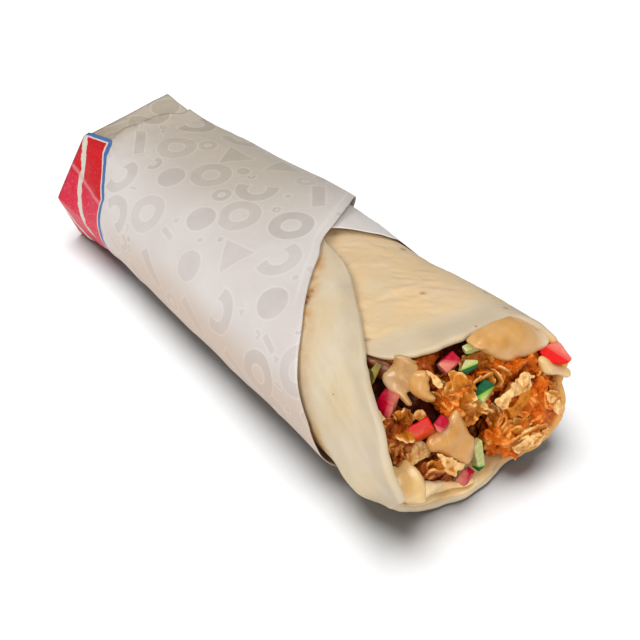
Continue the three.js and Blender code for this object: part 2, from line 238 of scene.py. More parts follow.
def ripple(points, size, salt=0):
    """Smooth noise from about -1 to 1 whose bumps have a size in mm."""
    place = np.asarray(points, float) / size + 37.7 * salt
    cell = np.floor(place).astype(int)
    rest = place - cell
    fade = rest * rest * rest * (rest * (rest * 6 - 15) + 10)
    total = np.zeros(len(place))
    for corner in product((0, 1), repeat=3):
        c = cell + corner
        pick = shuffle[c[:, 2] & 255]
        pick = shuffle[(c[:, 1] + pick) & 255]
        pick = shuffle[(c[:, 0] + pick) & 255]
        weight = np.prod(np.where(corner, fade, 1 - fade), axis=1)
        total += weight * (leanings[pick] * (rest - corner)).sum(1)
    return 1.7 * total


def ridges(points, size, salt=0):
    """Noise with sharp crests at 1 and rounded valleys towards -1."""
    return 1 - 2 * np.abs(ripple(points, size, salt)) ** 0.8


# Mesh helpers


def deselect():
    for thing in bpy.context.selected_objects:
        thing.select_set(False)


def activate(piece):
    deselect()
    piece.select_set(True)
    bpy.context.view_layer.objects.active = piece


def apply_modifier(piece, kind, **settings):
    activate(piece)
    modifier = piece.modifiers.new(kind.title(), kind)
    for name, value in settings.items():
        setattr(modifier, name, value)
    bpy.ops.object.modifier_apply(modifier=modifier.name)


def thicken(piece, thickness, offset=0):
    apply_modifier(piece, "SOLIDIFY", thickness=thickness * MM, offset=offset)


def remesh(piece, size):
    apply_modifier(piece, "REMESH", voxel_size=size * MM, use_smooth_shade=True)


def relax(piece, rounds):
    apply_modifier(piece, "SMOOTH", factor=0.5, iterations=rounds)


def read(piece, what="co"):
    flat = np.empty(len(piece.data.vertices) * 3)
    piece.data.vertices.foreach_get(what, flat)
    return flat.reshape(-1, 3)


def points_of(piece):
    """A piece's points in mm, seen from the tail."""
    return read(piece) / MM + ROLL_MIDDLE


def place_points(piece, points):
    flat = ((points - ROLL_MIDDLE) * MM).ravel()
    piece.data.vertices.foreach_set("co", flat)
    piece.data.update()


def raise_points(piece, height):
    """Moves each point out along its normal, in mm."""
    place_points(piece, points_of(piece) + read(piece, "normal") * height[:, None])


def paint(piece, **layers):
    """Keeps values for each point, which the materials read by their names."""
    for name, values in layers.items():
        values = np.asarray(values, np.float32)
        one = values.ndim == 1
        kind = "FLOAT" if one else "FLOAT_VECTOR"
        layer = piece.data.attributes.new(name, kind, "POINT")
        layer.data.foreach_set("value" if one else "vector", values.ravel())


def merge_doubles(piece, distance=0.001):
    activate(piece)
    bpy.ops.object.mode_set(mode="EDIT")
    bpy.ops.mesh.select_all(action="SELECT")
    bpy.ops.mesh.remove_doubles(threshold=distance * MM)
    bpy.ops.mesh.normals_make_consistent(inside=False)
    bpy.ops.object.mode_set(mode="OBJECT")


def name_piece(piece, name):
    piece.name = piece.data.name = name
    return piece


def grid_piece(name, columns, rows):
    """A flat grid, and each of its points' shares along its two sides."""
    deselect()
    bpy.ops.mesh.primitive_grid_add(x_subdivisions=columns, y_subdivisions=rows, size=1)
    piece = name_piece(bpy.context.active_object, name)
    u, v, _ = (read(piece) + 0.5).T
    return piece, u, v


def node_copy(name, node):
    """A closed copy of a CAD node, to be worked into a finished piece."""
    piece = bpy.data.objects.new(name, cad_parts[node].data.copy())
    bpy.context.scene.collection.objects.link(piece)
    piece.data.name = name
    piece.data.materials.clear()
    merge_doubles(piece, 0.002)
    return piece


def join(pieces, name):
    activate(pieces[0])
    for piece in pieces:
        piece.select_set(True)
    bpy.ops.object.join()
    return name_piece(pieces[0], name)


def finish_piece(piece, material, slot, *nodes):
    """Gives a piece its material and puts it in its node's place on the part."""
    activate(piece)
    bpy.ops.object.shade_smooth()
    piece.data.materials.clear()
    piece.data.materials.append(material)
    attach(piece, "root")
    if nodes:
        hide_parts(*nodes)


# Materials: patterns are scaled from real millimetres


def hue(code):
    """The linear colour of an sRGB hex value."""
    parts = np.array([int(code[i : i + 2], 16) for i in (1, 3, 5)]) / 255
    linear = np.where(parts <= 0.04045, parts / 12.92, ((parts + 0.055) / 1.055) ** 2.4)
    return (*linear, 1)


def add(tree, kind, links=(), out=0, **settings):
    """Adds a node with its settings and gives back one of its outputs.

    A kind may end in its operation. The links give inputs their values, or the outputs
    that feed them, in the inputs' own order or by their keys. A colour is a hex value.
    """
    kind, _, operation = kind.partition(".")
    made = tree.nodes.new("ShaderNode" + kind)
    if operation:
        made.operation = operation
    for name, value in settings.items():
        setattr(made, name, value)
    for key, value in links.items() if isinstance(links, dict) else enumerate(links):
        if isinstance(value, bpy.types.NodeSocket):
            tree.links.new(value, made.inputs[key])
        elif isinstance(value, str):
            made.inputs[key].default_value = hue(value)
        else:
            made.inputs[key].default_value = value
    return made.outputs[out]


def new_material(name, **numbers):
    """A material, and its tree with numbers on the principled shader's inputs."""
    material = bpy.data.materials.new(name)
    material.use_nodes = True
    shader = material.node_tree.nodes["Principled BSDF"]
    for key, value in numbers.items():
        shader.inputs[key.replace("_", " ")].default_value = value
    return material, material.node_tree


def finish_surface(tree, colour, *grains):
    """Gives a surface its colour, and grains: mm across, mm deep, detail, roughness."""
    shader = tree.nodes["Principled BSDF"]
    tree.links.new(colour, shader.inputs["Base Color"])
    below = {}
    for size, depth, detail, roughness in grains:
        local = add(tree, "TexCoord", out="Object")
        links = {"Vector": local, "Scale": 1 / (size * MM), "Detail": detail}
        height = add(tree, "TexNoise", {**links, "Roughness": roughness})
        bump = add(tree, "Bump", {"Height": height, "Distance": depth * MM, **below})
        below = {"Normal": bump}
        tree.links.new(bump, shader.inputs["Normal"])


# Paper


def print_cells(tree, place, cell, reach):
    """Scattered spots: each one's place, three picks, and the distance less reach."""
    links = {"Vector": place, "Scale": 1 / cell, "Randomness": 0.35}
    cells = add(tree, "TexVoronoi", links, voronoi_dimensions="2D").node.outputs
    centre = cells["Position"]
    local = add(tree, "VectorMath.SUBTRACT", (place, centre))
    radius = add(tree, "VectorMath.LENGTH", (local,), "Value")
    return centre, local, cells["Color"], add(tree, "Math.SUBTRACT", (radius, reach))


def print_layer(tree, place, cell, stroke, fill):
    """Loose shapes, one in each cell: rings, half rings, bars, triangles and discs.

    The first value is below 0 inside a shape, in mm from its edge.
    """
    reach = fill * cell / 2
    centre, local, picks, bound = print_cells(tree, place, cell, reach)
    _, kind, strength = add(tree, "SeparateColor", (picks,)).node.outputs
    angle = add(tree, "Math.MULTIPLY", (picks, 6.28))
    links = {"Vector": local, "Angle": angle}
    turned = add(tree, "VectorRotate", links, rotation_type="Z_AXIS")
    x, y, _ = add(tree, "SeparateXYZ", (turned,)).node.outputs
    across, upright = (add(tree, "Math.ABSOLUTE", (side,)) for side in (x, y))

    band = add(tree, "Math.ABSOLUTE", (add(tree, "Math.ADD", (bound, stroke / 2)),))
    ring = add(tree, "Math.SUBTRACT", (band, stroke / 2))
    cut = add(tree, "Math.SUBTRACT", (y, 0.25 * reach))
    half_ring = add(tree, "Math.MAXIMUM", (ring, cut))
    ends = add(tree, "Math.SUBTRACT", (across, reach * 0.95))
    sides = add(tree, "Math.SUBTRACT", (upright, stroke / 2))
    bar = add(tree, "Math.MAXIMUM", (ends, sides))
    half_y = add(tree, "Math.MULTIPLY", (y, 0.5))
    slope = add(tree, "Math.MULTIPLY_ADD", (across, 0.87, half_y))
    base = add(tree, "Math.MULTIPLY", (y, -1))
    sharp = add(tree, "Math.MAXIMUM", (slope, base))
    triangle = add(tree, "Math.SUBTRACT", (sharp, reach * 0.5))
    disc = add(tree, "Math.ADD", (bound, reach * 0.3))

    shape = ring
    kinds = (0.25, half_ring), (0.5, bar), (0.72, triangle), (0.86, disc)
    for from_pick, other in kinds:
        chosen = add(tree, "Math.GREATER_THAN", (kind, from_pick))
        shape = add(tree, "Mix", {0: chosen, 2: shape, 3: other})
    return shape, centre, strength


# the sizes of printed shape: mm from one to the next, mm of stroke, share of its room
PRINT_SIZES = [(20, 4.2, 0.8), (9, 2.0, 0.8), (4.2, 0.9, 0.72)]


def printed_shapes(tree, place):
    """The smaller sizes of shape are only where the larger leave room."""
    nearest, strength, wider = None, None, []
    for cell, stroke, fill in PRINT_SIZES:
        shape, centre, its_strength = print_layer(tree, place, cell, stroke, fill)
        for other, reach in wider:
            *_, bound = print_cells(tree, centre, other, reach + fill * cell / 2)
            clear = add(tree, "Math.GREATER_THAN", (bound, 0.0))
            shape = add(tree, "Mix", {0: clear, 2: 9.0, 3: shape})
        if wider:
            closer = add(tree, "Math.LESS_THAN", (shape, nearest))
            shape = add(tree, "Math.MINIMUM", (shape, nearest))
            its_strength = add(tree, "Mix", {0: closer, 2: strength, 3: its_strength})
        nearest, strength = shape, its_strength
        wider.append((cell, fill * cell / 2))
    return nearest, strength


def greaseproof_paper():
    """Greaseproof paper, calendered, printed: a soft satin with faint grey shapes."""
    material, tree = new_material(
        "greaseproof_paper",
        Roughness=0.5,
        IOR=1.47,
        Subsurface_Weight=0.1,
        Subsurface_Radius=(0.9, 0.8, 0.7),
        Subsurface_Scale=0.6 * MM,
    )
    place = add(tree, "Attribute", out="Vector", attribute_name="unrolled")
    links = {"Vector": place, "Angle": 0.6}
    rows = add(tree, "VectorRotate", links, rotation_type="Z_AXIS")
    nearest, strength = printed_shapes(tree, rows)
    printed = add(tree, "MapRange", (nearest, -0.2, 0.2, 1, 0))
    tone = add(tree, "MapRange", (strength, 0, 1, 0.45, 1))
    printed = add(tree, "Math.MULTIPLY", (printed, tone))
    worn = add(tree, "TexNoise", {"Vector": place, "Scale": 1 / 11, "Detail": 3})
    worn = add(tree, "MapRange", (worn, 0.3, 0.7, 0.5, 1))
    printed = add(tree, "Math.MULTIPLY", (printed, worn))
    # the print's overlap leaves a pale line round each shape
    outside = add(tree, "MapRange", (nearest, 0.15, 0.4))
    halo = add(tree, "MapRange", (nearest, 0.55, 0.9, 0.26, 0))
    halo = add(tree, "Math.MULTIPLY", (outside, halo))

    cloudy = add(tree, "TexNoise", {"Vector": place, "Scale": 1 / 38, "Detail": 2})
    cloudy = add(tree, "MapRange", (cloudy, 0.35, 0.65))
    warm, rosy, handled, margin = (
        add(tree, "Attribute", out="Fac", attribute_name=name)
        for name in ("warm", "rosy", "handled", "margin")
    )
    # painted shade on the top and on the low near side, which greys the print too
    grey = "#bbb1ad"
    for by, tint in ((warm, "#a79b8a"), (rosy, "#bba899")):
        grey = add(tree, "Mix", {0: by, 6: grey, 7: tint}, 2, data_type="RGBA")
    colour = "#cac1bc"
    # the pale line's tint is painted light where it lies on the inner turn near the
    # mouth
    for by, tint in (
        *((cloudy, "#d2cbc6"), (warm, "#b8ac9b"), (rosy, "#c3af9e")),
        *((handled, "#a4937f"), (printed, grey)),
        *((halo, "#ddd7d2"), (margin, "#dcd5cf")),
    ):
        colour = add(tree, "Mix", {0: by, 6: colour, 7: tint}, 2, data_type="RGBA")
    colour = printed_panel(tree, place, colour)
    finish_surface(tree, colour, (0.9, 0.05, 3, 0.6), (4.5, 0.22, 3, 0.55))
    return material


# the printed panel's edges in the unrolled sheet, as mm round and mm along
PANEL_CORNERS = [(31.6, 2.4), (36.1, 14), (14.8, 33.7), (-2.8, 36.2)]


def printed_panel(tree, place, around):
    """A red field with a blue border and a cream line inside it, striped in cream."""
    inside = None
    for (s0, x0), (s1, x1) in zip(PANEL_CORNERS, PANEL_CORNERS[1:]):
        along = np.array([s1 - s0, x1 - x0], float)
        across = np.array([along[1], -along[0]]) / np.linalg.norm(along)
        # the field lies towards the tail and the underside
        across *= -np.sign(across @ (np.array([s0, x0]) - np.array([0, -20])))
        distance = add(tree, "VectorMath.DOT_PRODUCT", (place, (*across, 0)), "Value")
        distance = add(tree, "Math.SUBTRACT", (distance, float(across @ (s0, x0))))
        if inside is not None:
            distance = add(tree, "Math.MINIMUM", (inside, distance))
        inside = distance
    wobble = add(tree, "TexNoise", {"Vector": place, "Scale": 1 / 3, "Detail": 2})
    wobble = add(tree, "MapRange", (wobble, 0, 1, -0.25, 0.25))
    inside = add(tree, "Math.ADD", (inside, wobble))

    low, creased, outer, gap = (
        add(tree, "Attribute", out="Fac", attribute_name=name)
        for name in ("low_panel", "crease", "outer_turn", "gap")
    )
    slant = add(tree, "VectorMath.DOT_PRODUCT", (place, (0.5, 0.87, 0)), "Value")
    slant = add(tree, "Math.MULTIPLY_ADD", (wobble, 5, slant))
    stripe = add(tree, "Math.PINGPONG", (slant, 9))
    striped = add(tree, "MapRange", (stripe, 1.25, 1.6, 1, 0))
    # the print is cracked to pink where the sheet is creased
    links = {"Vector": place, "Scale": 1 / 1.3, "Detail": 4, "Roughness": 0.7}
    scuff = add(tree, "MapRange", (add(tree, "TexNoise", links), 0.56, 0.72))
    amount = add(tree, "MapRange", (low, 0, 1, 0.3, 0.85))
    scuff = add(tree, "Math.MULTIPLY", (scuff, amount))
    scuff = add(tree, "Math.MAXIMUM", (scuff, creased))
    cream = add(tree, "MapRange", (inside, 2.4, 2.6, 1, 0))
    blue = add(tree, "MapRange", (inside, 1.7, 1.9, 1, 0))
    field = "#c20010"
    print_tints = (low, "#cc1236"), (striped, "#cfc8ba"), (scuff, "#d8909a")
    for by, tint in (*print_tints, (cream, "#cfc9c0"), (blue, "#46689a")):
        field = add(tree, "Mix", {0: by, 6: field, 7: tint}, 2, data_type="RGBA")
    shown = add(tree, "MapRange", (inside, -0.06, 0.06))
    shown = add(tree, "Math.MULTIPLY", (shown, outer))
    # the painted shadow under the outer turn's back edge goes over the print
    colour = around
    for by, tint in ((shown, field), (gap, "#4a3c34")):
        colour = add(tree, "Mix", {0: by, 6: colour, 7: tint}, 2, data_type="RGBA")
    return colour


def paper_creases(points):
    """How far the paper stands out from its plain roll, the same for both turns."""
    x, y, z = points.T
    slanted = np.stack([x * 0.55 + y * 0.6, (y - x * 0.8) * 0.35, z * 0.6], 1)
    soft = 0.45 * ripple(points, 34, 1) + 0.32 * ridges(slanted, 19, 2)
    sharp = 0.16 * ridges(slanted * [1, 0.7, 1], 8, 3)
    tail = 1 - ease(x, 15, 60)
    crumple = tail * (0.3 * ridges(points, 9, 4) + 0.12 * ridges(points, 4, 5))
    return soft + sharp + crumple - 0.35


def paint_paper(piece, degrees, x, outer, margin=0):
    """Keeps each point's place on the flat sheet, its marks, and where shade and light
    are painted on it.
    """
    # mm round the sheet, taken where the roll is of middling girth
    ruler = np.linspace(-120, PAPER_END, 2000)
    arc = distances(roll_point(GIRTH_SECTION, ruler, 0))
    around = np.interp(degrees, ruler, arc) - np.interp(360, ruler, arc)
    turn = np.mod(degrees, 360)
    # painted shade: the top of the roll and the band over the tail's top, darker and
    # warmer
    top = swell(turn, 50, 105, 190, 240) * (0.9 - ease(x, 60, 150))
    band = swell(turn, 40, 56, 190, 240) * (1 - ease(x, 8, 24))
    crease = np.exp(-(((turn - 30 + 0.25 * x) / 1.2) ** 2))
    # a pale line 3 to 4 mm in from the outer turn's front edge, and painted light on
    # the inner turn near the mouth, share one tint
    margin = 0.45 * swell(margin + x * 0, 2.8, 3.4, 4.0, 4.6) * outer
    inner = 0.8 * swell(degrees, 75, 95, 135, 170) * ease(x, 108, 118)
    # painted shadow: a dark line on the inner turn, just under the outer turn's back
    # edge
    opens = curve(PAPER_BACK, degrees + 360)
    gap = np.exp(-(((x - opens - 0.2) / 0.8) ** 2)) * swell(degrees, 84, 92, 108, 116)
    paint(
        piece,
        unrolled=np.stack([around, x, x * 0], 1),
        # darker on the band at the tail's end, over the top of the near side
        handled=swell(turn, 48, 58, 66, 90) * (1 - ease(x, 8, 16)),
        warm=np.clip(np.maximum(top, 1.2 * band), 0, 1),
        # painted shade: the lower part of the near side, darker and warmer
        rosy=swell(np.mod(turn + 90, 360), 20, 60, 85, 120) * ease(x, 20, 70),
        crease=0.8 * crease * (1 - ease(x, 30, 36)),
        margin=np.maximum(margin * (degrees > 415), inner),
        outer_turn=np.broadcast_to(outer, x.shape).astype(float),
        gap=0.9 * gap * (degrees < 130),
        low_panel=ease(-np.abs(degrees - 360 + 40), -66, -60),
    )


def end_inset(degrees):
    """How far in the sheet's edge is at the tail, on its inner turn along the top."""
    return 0.15 + PAPER_LAP_STEP * swell(np.mod(degrees, 360), 52, 57, 190, 200)


def end_x(y, z):
    """The folded end's plane, dished towards its middle."""
    ruler = np.linspace(-90, 270, 721)
    outline = np.stack(tail_outline(ruler), 1) - [0, END_MIDDLE]
    turn = np.unwrap(np.arctan2(outline[:, 1], -outline[:, 0]))
    at = np.arctan2(z - END_MIDDLE, -y)
    at = np.where(at < turn[0], at + 2 * np.pi, at)
    reach = np.interp(at, turn, np.linalg.norm(outline, axis=1))
    share = np.clip(np.hypot(y, z - END_MIDDLE) / reach, 0, 1)
    return TAIL_NEAR_X - TAIL_SLANT * y + END_DISH * (1 - share**1.5)


# each flap over the tail: its hinge in degrees, its far edge as [y, z], its layer
END_FLAPS = [
    ((315, 417), [[-13, 7], [1, 21], [3, 26], [-9, 38]], 1),
    ((125, 225), [[10, 39], [-2, 28], [-3, 22], [12, 6]], 2),
    ((57, 125), [[-12, 33], [-7, 17], [9, 16], [13, 34]], 3),
    ((225, 315), [[14, 8], [10, 30], [-8, 31], [-14, 9]], 4),
]


def end_flap(hinge, far_edge, layer):
    """One folded-in end of the sheet, lying on the ones folded before it."""
    piece, u, v = grid_piece("end_flap", 44, 30)
    degrees = hinge[0] + (hinge[1] - hinge[0]) * u
    start = roll_point(tail_x(degrees), degrees, end_inset(degrees))
    edge = np.array(far_edge, float)
    far = np.stack([np.interp(u * 3, range(4), edge[:, k]) for k in (0, 1)], 1)
    y, z = (start[:, 1:] * (1 - v)[:, None] + far * v[:, None]).T
    plain = np.stack([v * 0 + 9 * layer, y, z], 1)
    crumple = 0.35 * ridges(plain, 10, 7) + 0.15 * ridges(plain, 4.5, 8) - 0.2
    raised = ease(v, 0, 0.12) * (0.5 * layer + crumple)
    place_points(piece, np.stack([end_x(y, z) - raised, y, z], 1))
    paint_paper(piece, degrees, -END_FLAP_LENGTH * v, layer == 1)
    return piece


def tail_end():
    """The folded end that shuts the tail, as one wraps a present."""
    piece, u, v = grid_piece("end_lining", 120, 24)
    degrees = 360 * u
    skirt = np.clip(1 - v / 0.15, 0, 1)
    share = np.clip((v - 0.15) / 0.85, 0, 1)
    points = roll_point(tail_x(degrees) + 5 * skirt, degrees, 0.6 + end_inset(degrees))
    points[:, 1] *= 1 - share
    points[:, 2] += (END_MIDDLE - points[:, 2]) * share
    dished = end_x(points[:, 1], points[:, 2])
    points[:, 0] = np.where(skirt > 0, points[:, 0], dished + 0.2)
    place_points(piece, points)
    paint_paper(piece, degrees, -END_FLAP_LENGTH * share, False)
    merge_doubles(piece, 0.01)
    return [piece, *(end_flap(*row) for row in END_FLAPS)]


def wrapper_paper(material):
    piece, u, v = grid_piece("wrapper_paper", 330, 100)
    degrees = PAPER_START + (PAPER_END - PAPER_START) * u
    front = curve(PAPER_FRONT, degrees)
    back = np.maximum(curve(PAPER_BACK, degrees), tail_x(degrees))
    x = back + (front - back) * v
    lifted = ease(degrees, 442, 500) * ease(x, front - FLARE_LENGTH, front)
    inset = PAPER_LAP_STEP * (1 - ease(degrees, 195, 262.5)) - PAPER_FLARE * lifted
    plain = roll_point(x, degrees, 0)
    lapped = swell(np.mod(degrees, 360), 30, 60, 190, 230)
    room = 0.25 + 1.1 * (1 - lapped)
    from_tail = ease(x, tail_x(degrees), tail_x(degrees) + 7)
    stand_out = np.maximum(paper_creases(plain), -room) * from_tail
    # the outer turn gapes where it starts over the tail
    gape = swell(degrees, 417, 428, 450, 466) * (1 - ease(x, back, back + 8))
    free_edge = ease(x, front - 14, front) * ripple(plain, 13, 6)
    stand_out = stand_out + 0.9 * gape + 0.35 * free_edge
    place_points(piece, roll_point(x, degrees, inset - stand_out))
    paint_paper(piece, degrees, x, degrees > 250, front - x)
    piece = join([piece, *tail_end()], "wrapper_paper")
    thicken(piece, PAPER_THICKNESS)
    finish_piece(piece, material, "paper", "paper_wrapper")


# Bread


def paper_cover(degrees):
    """How far along the roll the paper covers it at an angle."""
    cover = np.zeros_like(degrees)
    for turn in (0, 360):
        at = np.mod(degrees, 360) + turn
        inside = (at >= PAPER_START) & (at <= PAPER_END)
        cover = np.maximum(cover, np.where(inside, curve(PAPER_FRONT, at), 0))
    return cover


def griddled_flatbread():
    """Wheat flatbread off a griddle: matt and floury, with tan blisters."""
    material, tree = new_material(
        "griddled_flatbread",
        Roughness=0.7,
        IOR=1.45,
        Subsurface_Weight=0.25,
        Subsurface_Radius=(1.6, 1.0, 0.6),
        Subsurface_Scale=1.2 * MM,
    )
    local = add(tree, "TexCoord", out="Object")
    mottled, patchy = (
        add(tree, "TexNoise", {"Vector": local, "Scale": 1 / (mm * MM), "Detail": fine})
        for mm, fine in ((14, 3), (4, 4))
    )
    mottled = add(tree, "MapRange", (mottled, 0.35, 0.68))
    golden, flour, soaked, toast, scorched = (
        add(tree, "Attribute", out="Fac", attribute_name=name)
        for name in ("golden", "flour", "soaked", "toast", "scorched")
    )
    patchy = add(tree, "MapRange", (patchy, 0.3, 0.62))
    # toast along the paper's edge, partly real toast and partly painted shade
    toast = add(tree, "Math.MULTIPLY", (toast, patchy))
    tints = [
        *((mottled, "#cdb894"), (golden, "#dabb8d"), (flour, "#b9a88e")),
        *((soaked, "#dfa556"), (toast, "#c08c4c"), (scorched, "#864818")),
    ]
    # specks of bran and scorched flour, under a millimetre across
    for cell, widest, kept in ((7, 0.075, 0.62), (16, 0.055, 0.55)):
        links = {"Vector": local, "Scale": 1 / (cell * MM)}
        spots = add(tree, "TexVoronoi", links).node.outputs
        pick = add(tree, "SeparateColor", (spots["Color"],))
        size = add(tree, "MapRange", (pick, kept, 1, 0, widest))
        inside = add(tree, "Math.SUBTRACT", (spots["Distance"], size))
        tints.append((add(tree, "MapRange", (inside, -0.02, 0.0, 0.8, 0)), "#96683a"))
    colour = "#cfc0a8"
    for by, tint in tints:
        colour = add(tree, "Mix", {0: by, 6: colour, 7: tint}, 2, data_type="RGBA")
    finish_surface(tree, colour, (0.7, 0.06, 3, 0.5), (2.6, 0.16, 2, 0.5))
    return material


# where the griddle scorched the bread, and three marks near 425 degrees for a crack in
# the near flap, painted shade: mm from the tail, degrees, mm across
SCORCH_MARKS = [
    *((141.2, 133.6, 0.9), (167.4, 103.9, 0.7), (151.7, 171, 1.0), (145.6, 146.7, 0.7)),
    *((178.5, 134.2, 0.8), (170.6, 65.2, 0.8), (143.5, 424.7, 1.1)),
    *((144.8, 421.5, 1.0), (142.4, 428.5, 0.8), (190.0, 128.0, 0.6)),
]


def flatbread_wrap(material):
    # rows of its outer face that the paper hides, that show, and round its rim
    hidden, outer, rim = 14, 112, 8
    rows, columns = 2 * (hidden + outer) + rim, 290
    piece, u, v = grid_piece("flatbread_wrap", columns, rows)
    degrees = BREAD_START + (BREAD_END - BREAD_START) * u
    row = np.round(v * rows)
    turned = np.clip((row - hidden - outer) / rim, 0, 1) * np.pi
    # the inner face takes the outer face's rows in reverse, so the cut sides close
    row = np.minimum(row, rows - row)
    radius = BREAD_THICKNESS / 2
    around = np.stack([degrees * MM_PER_DEGREE, degrees * 0, degrees * 0], 1)
    torn = 1 + 0.9 * swell(degrees, 140, 165, 240, 262)
    ragged = torn * (0.55 * ripple(around, 7, 21) + 0.3 * ripple(around, 2.6, 22))
    front = curve(BREAD_FRONT, degrees) + ragged - radius
    # the rows lie close together from where the bread begins to show
    shows_x = 95
    to_shown = BREAD_TAIL_X + (shows_x - BREAD_TAIL_X) * row / hidden
    to_front = shows_x + (front - shows_x) * (row - hidden) / outer
    x = np.where(row <= hidden, to_shown, to_front)
    x = np.where(row >= hidden + outer, front + radius * np.sin(turned), x)
    depth = (1 - np.cos(turned)) / 2
    # both cut sides and the tail end are rounded off
    side = np.minimum(degrees - BREAD_START, BREAD_END - degrees) * MM_PER_DEGREE
    to_end = np.minimum(side, x - BREAD_TAIL_X)
    full = np.sqrt(1 - (1 - np.clip(to_end / radius, 0, 1)) ** 2)
    plain = roll_point(x, degrees, 0)
    uncovered = x - paper_cover(degrees)
    broad = 0.55 * ripple(plain, 26, 23) + 0.25 * ripple(plain, 11, 24)
    fine = far_flap_wrinkles(plain, degrees, x) + near_flap_folds(degrees, x)
    fine = fine + 0.12 * ripple(plain, 2.2, 25)
    face = 1 - depth
    stand_out = ease(uncovered, -1, 9) * (broad + face * full * fine)
    thickness = BREAD_THICKNESS * (1 + 0.1 * ripple(plain, 15, 26))
    section = 0.5 + (depth - 0.5) * full
    inset = bread_inset(x, degrees) + thickness * section - stand_out
    place_points(piece, roll_point(x, degrees, inset))

    to_rim = front + radius - x
    patchy = 0.62 + 0.45 * ripple(plain, 13, 28) + 0.2 * ripple(plain, 5, 29)
    by_edge = 1 - 0.8 * ease(-np.abs(to_rim - 5), -12, -3)
    by_edge *= 1 - 0.2 * (1 - ease(uncovered, 2, 14))
    golden = 1.05 * swell(degrees, 45, 62, 140, 205) * patchy * by_edge
    dusted = swell(to_rim, -1, 2, 5, 13) * (0.5 + 0.4 * ripple(plain, 9, 27))
    # toast and painted shade where the near flap goes under the paper, strongest low on
    # the near side, and along its top
    lower = swell(np.mod(degrees, 360), 300, 325, 345, 372)
    near_side = (degrees > 300) * (0.35 + 0.65 * lower)
    upper = 0.45 * swell(degrees, 395, 412, 440, 456) * (1 - ease(uncovered, 0, 6))
    # dark marks: griddle scorches, and painted shade in the crack
    scorched = np.zeros_like(x)
    for at, turn, size in SCORCH_MARKS:
        away = np.linalg.norm(plain - roll_point(at, turn, 0), axis=1)
        mark = np.exp(-((away / size) ** 2)) * (np.abs(degrees - turn) < 90)
        scorched = np.maximum(scorched, mark)
    right_rim = swell(degrees, 140, 170, 225, 250) * (1 - ease(to_rim, 0.5, 3.5))
    lined = ease(depth, 0.35, 0.75) * swell(degrees, 140, 165, 240, 268)
    paint(
        piece,
        golden=np.clip(golden + 0.35 * (depth > 0.5), 0, 1),
        flour=np.clip(dusted, 0, 1) * face,
        toast=np.clip((1 - ease(uncovered, 0, 7)) * near_side + upper, 0, 1),
        scorched=scorched * face,
        soaked=np.clip(0.6 * right_rim + lined, 0, 1),
    )
    merge_doubles(piece)
    finish_piece(piece, material, "flatbread", "flatbread")


def far_flap_wrinkles(points, degrees, x):
    """Fine wrinkles where the far flap bends down under the near one."""
    shown = swell(degrees, 52, 66, 100, 150) * swell(x, 112, 125, 160, 186)
    shown = shown * ease(ripple(points, 12, 34), -0.35, 0.3)
    x, y, z = points.T
    stretched = np.stack([(x + y) * 0.32, (y - x) * 1.0, z * 0.5], 1)
    broad, fine = 0.56 * ridges(stretched, 5.5, 31), 0.28 * ridges(stretched, 2.6, 32)
    return shown * (broad + fine)


def near_flap_folds(degrees, x):
    """Shallow folds along the near flap."""
    shown = ease(degrees, 330, 370)
    flap = np.stack([degrees * 0.75 + x * 0.55, x * 0.1, degrees * 0], 1)
    return shown * 0.3 * ridges(flap, 9, 33)


# Fried chicken


def fried_batter(name, meat, crust, crest):
    """Chicken fried in batter: crisp and oily, pale on its crests, partly as painted
    highlight, and dark between them with painted shade.
    """
    material, tree = new_material(
        name,
        Roughness=0.42,
        Specular_IOR_Level=0.08,
        Subsurface_Weight=0.1,
        Subsurface_Radius=(1.2, 0.5, 0.15),
        Subsurface_Scale=0.6 * MM,
        Coat_Weight=0.03,
        Coat_Roughness=0.15,
    )
    local = add(tree, "TexCoord", out="Object")
    height = add(tree, "Attribute", out="Fac", attribute_name="crag")
    for size, strength, roughness in ((4.5, 1.0, 0.6), (1.0, 0.5, 0.65)):
        links = {"Vector": local, "Scale": 1 / (size * MM), "Detail": 3}
        spots = add(tree, "TexNoise", {**links, "Roughness": roughness})
        spots = add(tree, "MapRange", (spots, 0, 1, -0.5, 0.5))
        height = add(tree, "Math.MULTIPLY_ADD", (spots, strength, height))
    # painted shade low in the crust's creases, and a pale crest that is partly painted
    # highlight
    colour = meat
    for low, high, tint in ((0.08, 0.55, crust), (0.72, 1.12, crest)):
        raised = add(tree, "MapRange", (height, low, high))
        colour = add(tree, "Mix", {0: raised, 6: colour, 7: tint}, 2, data_type="RGBA")
    finish_surface(tree, colour, (1.0, 0.25, 3, 0.65))
    return material


def rim_x(degrees):
    """The front edge of whichever flap of bread reaches furthest at an angle."""
    far = np.where(degrees < BREAD_START, 0, curve(BREAD_FRONT, degrees))
    near = np.where(degrees < 100, curve(BREAD_FRONT, degrees + 360), 0)
    return np.maximum(far, near)


def roll_place(points):
    """Angles round the roll, and how far the points are set in from its surface."""
    ruler = np.arange(0, 360, 1.0)
    ring = roll_point(MOUTH_SECTION, ruler, 0)
    taller = (MOUTH_HEIGHT - TAIL_HEIGHT) * MOUTH_SECTION / ROLL_LENGTH
    middle_z = (TAIL_HEIGHT + taller) / 2
    ring_turn = np.unwrap(np.arctan2(ring[:, 2] - middle_z, -ring[:, 1]))
    turn = np.arctan2(points[:, 2] - middle_z, -points[:, 1])
    turn = np.where(turn < ring_turn[0], turn + 2 * np.pi, turn)
    degrees = np.interp(turn, ring_turn, ruler)
    outer = roll_point(points[:, 0], degrees, 0)
    middle = np.array([0, middle_z])
    reach = np.linalg.norm(outer[:, 1:] - middle, axis=1)
    return degrees, reach - np.linalg.norm(points[:, 1:] - middle, axis=1)


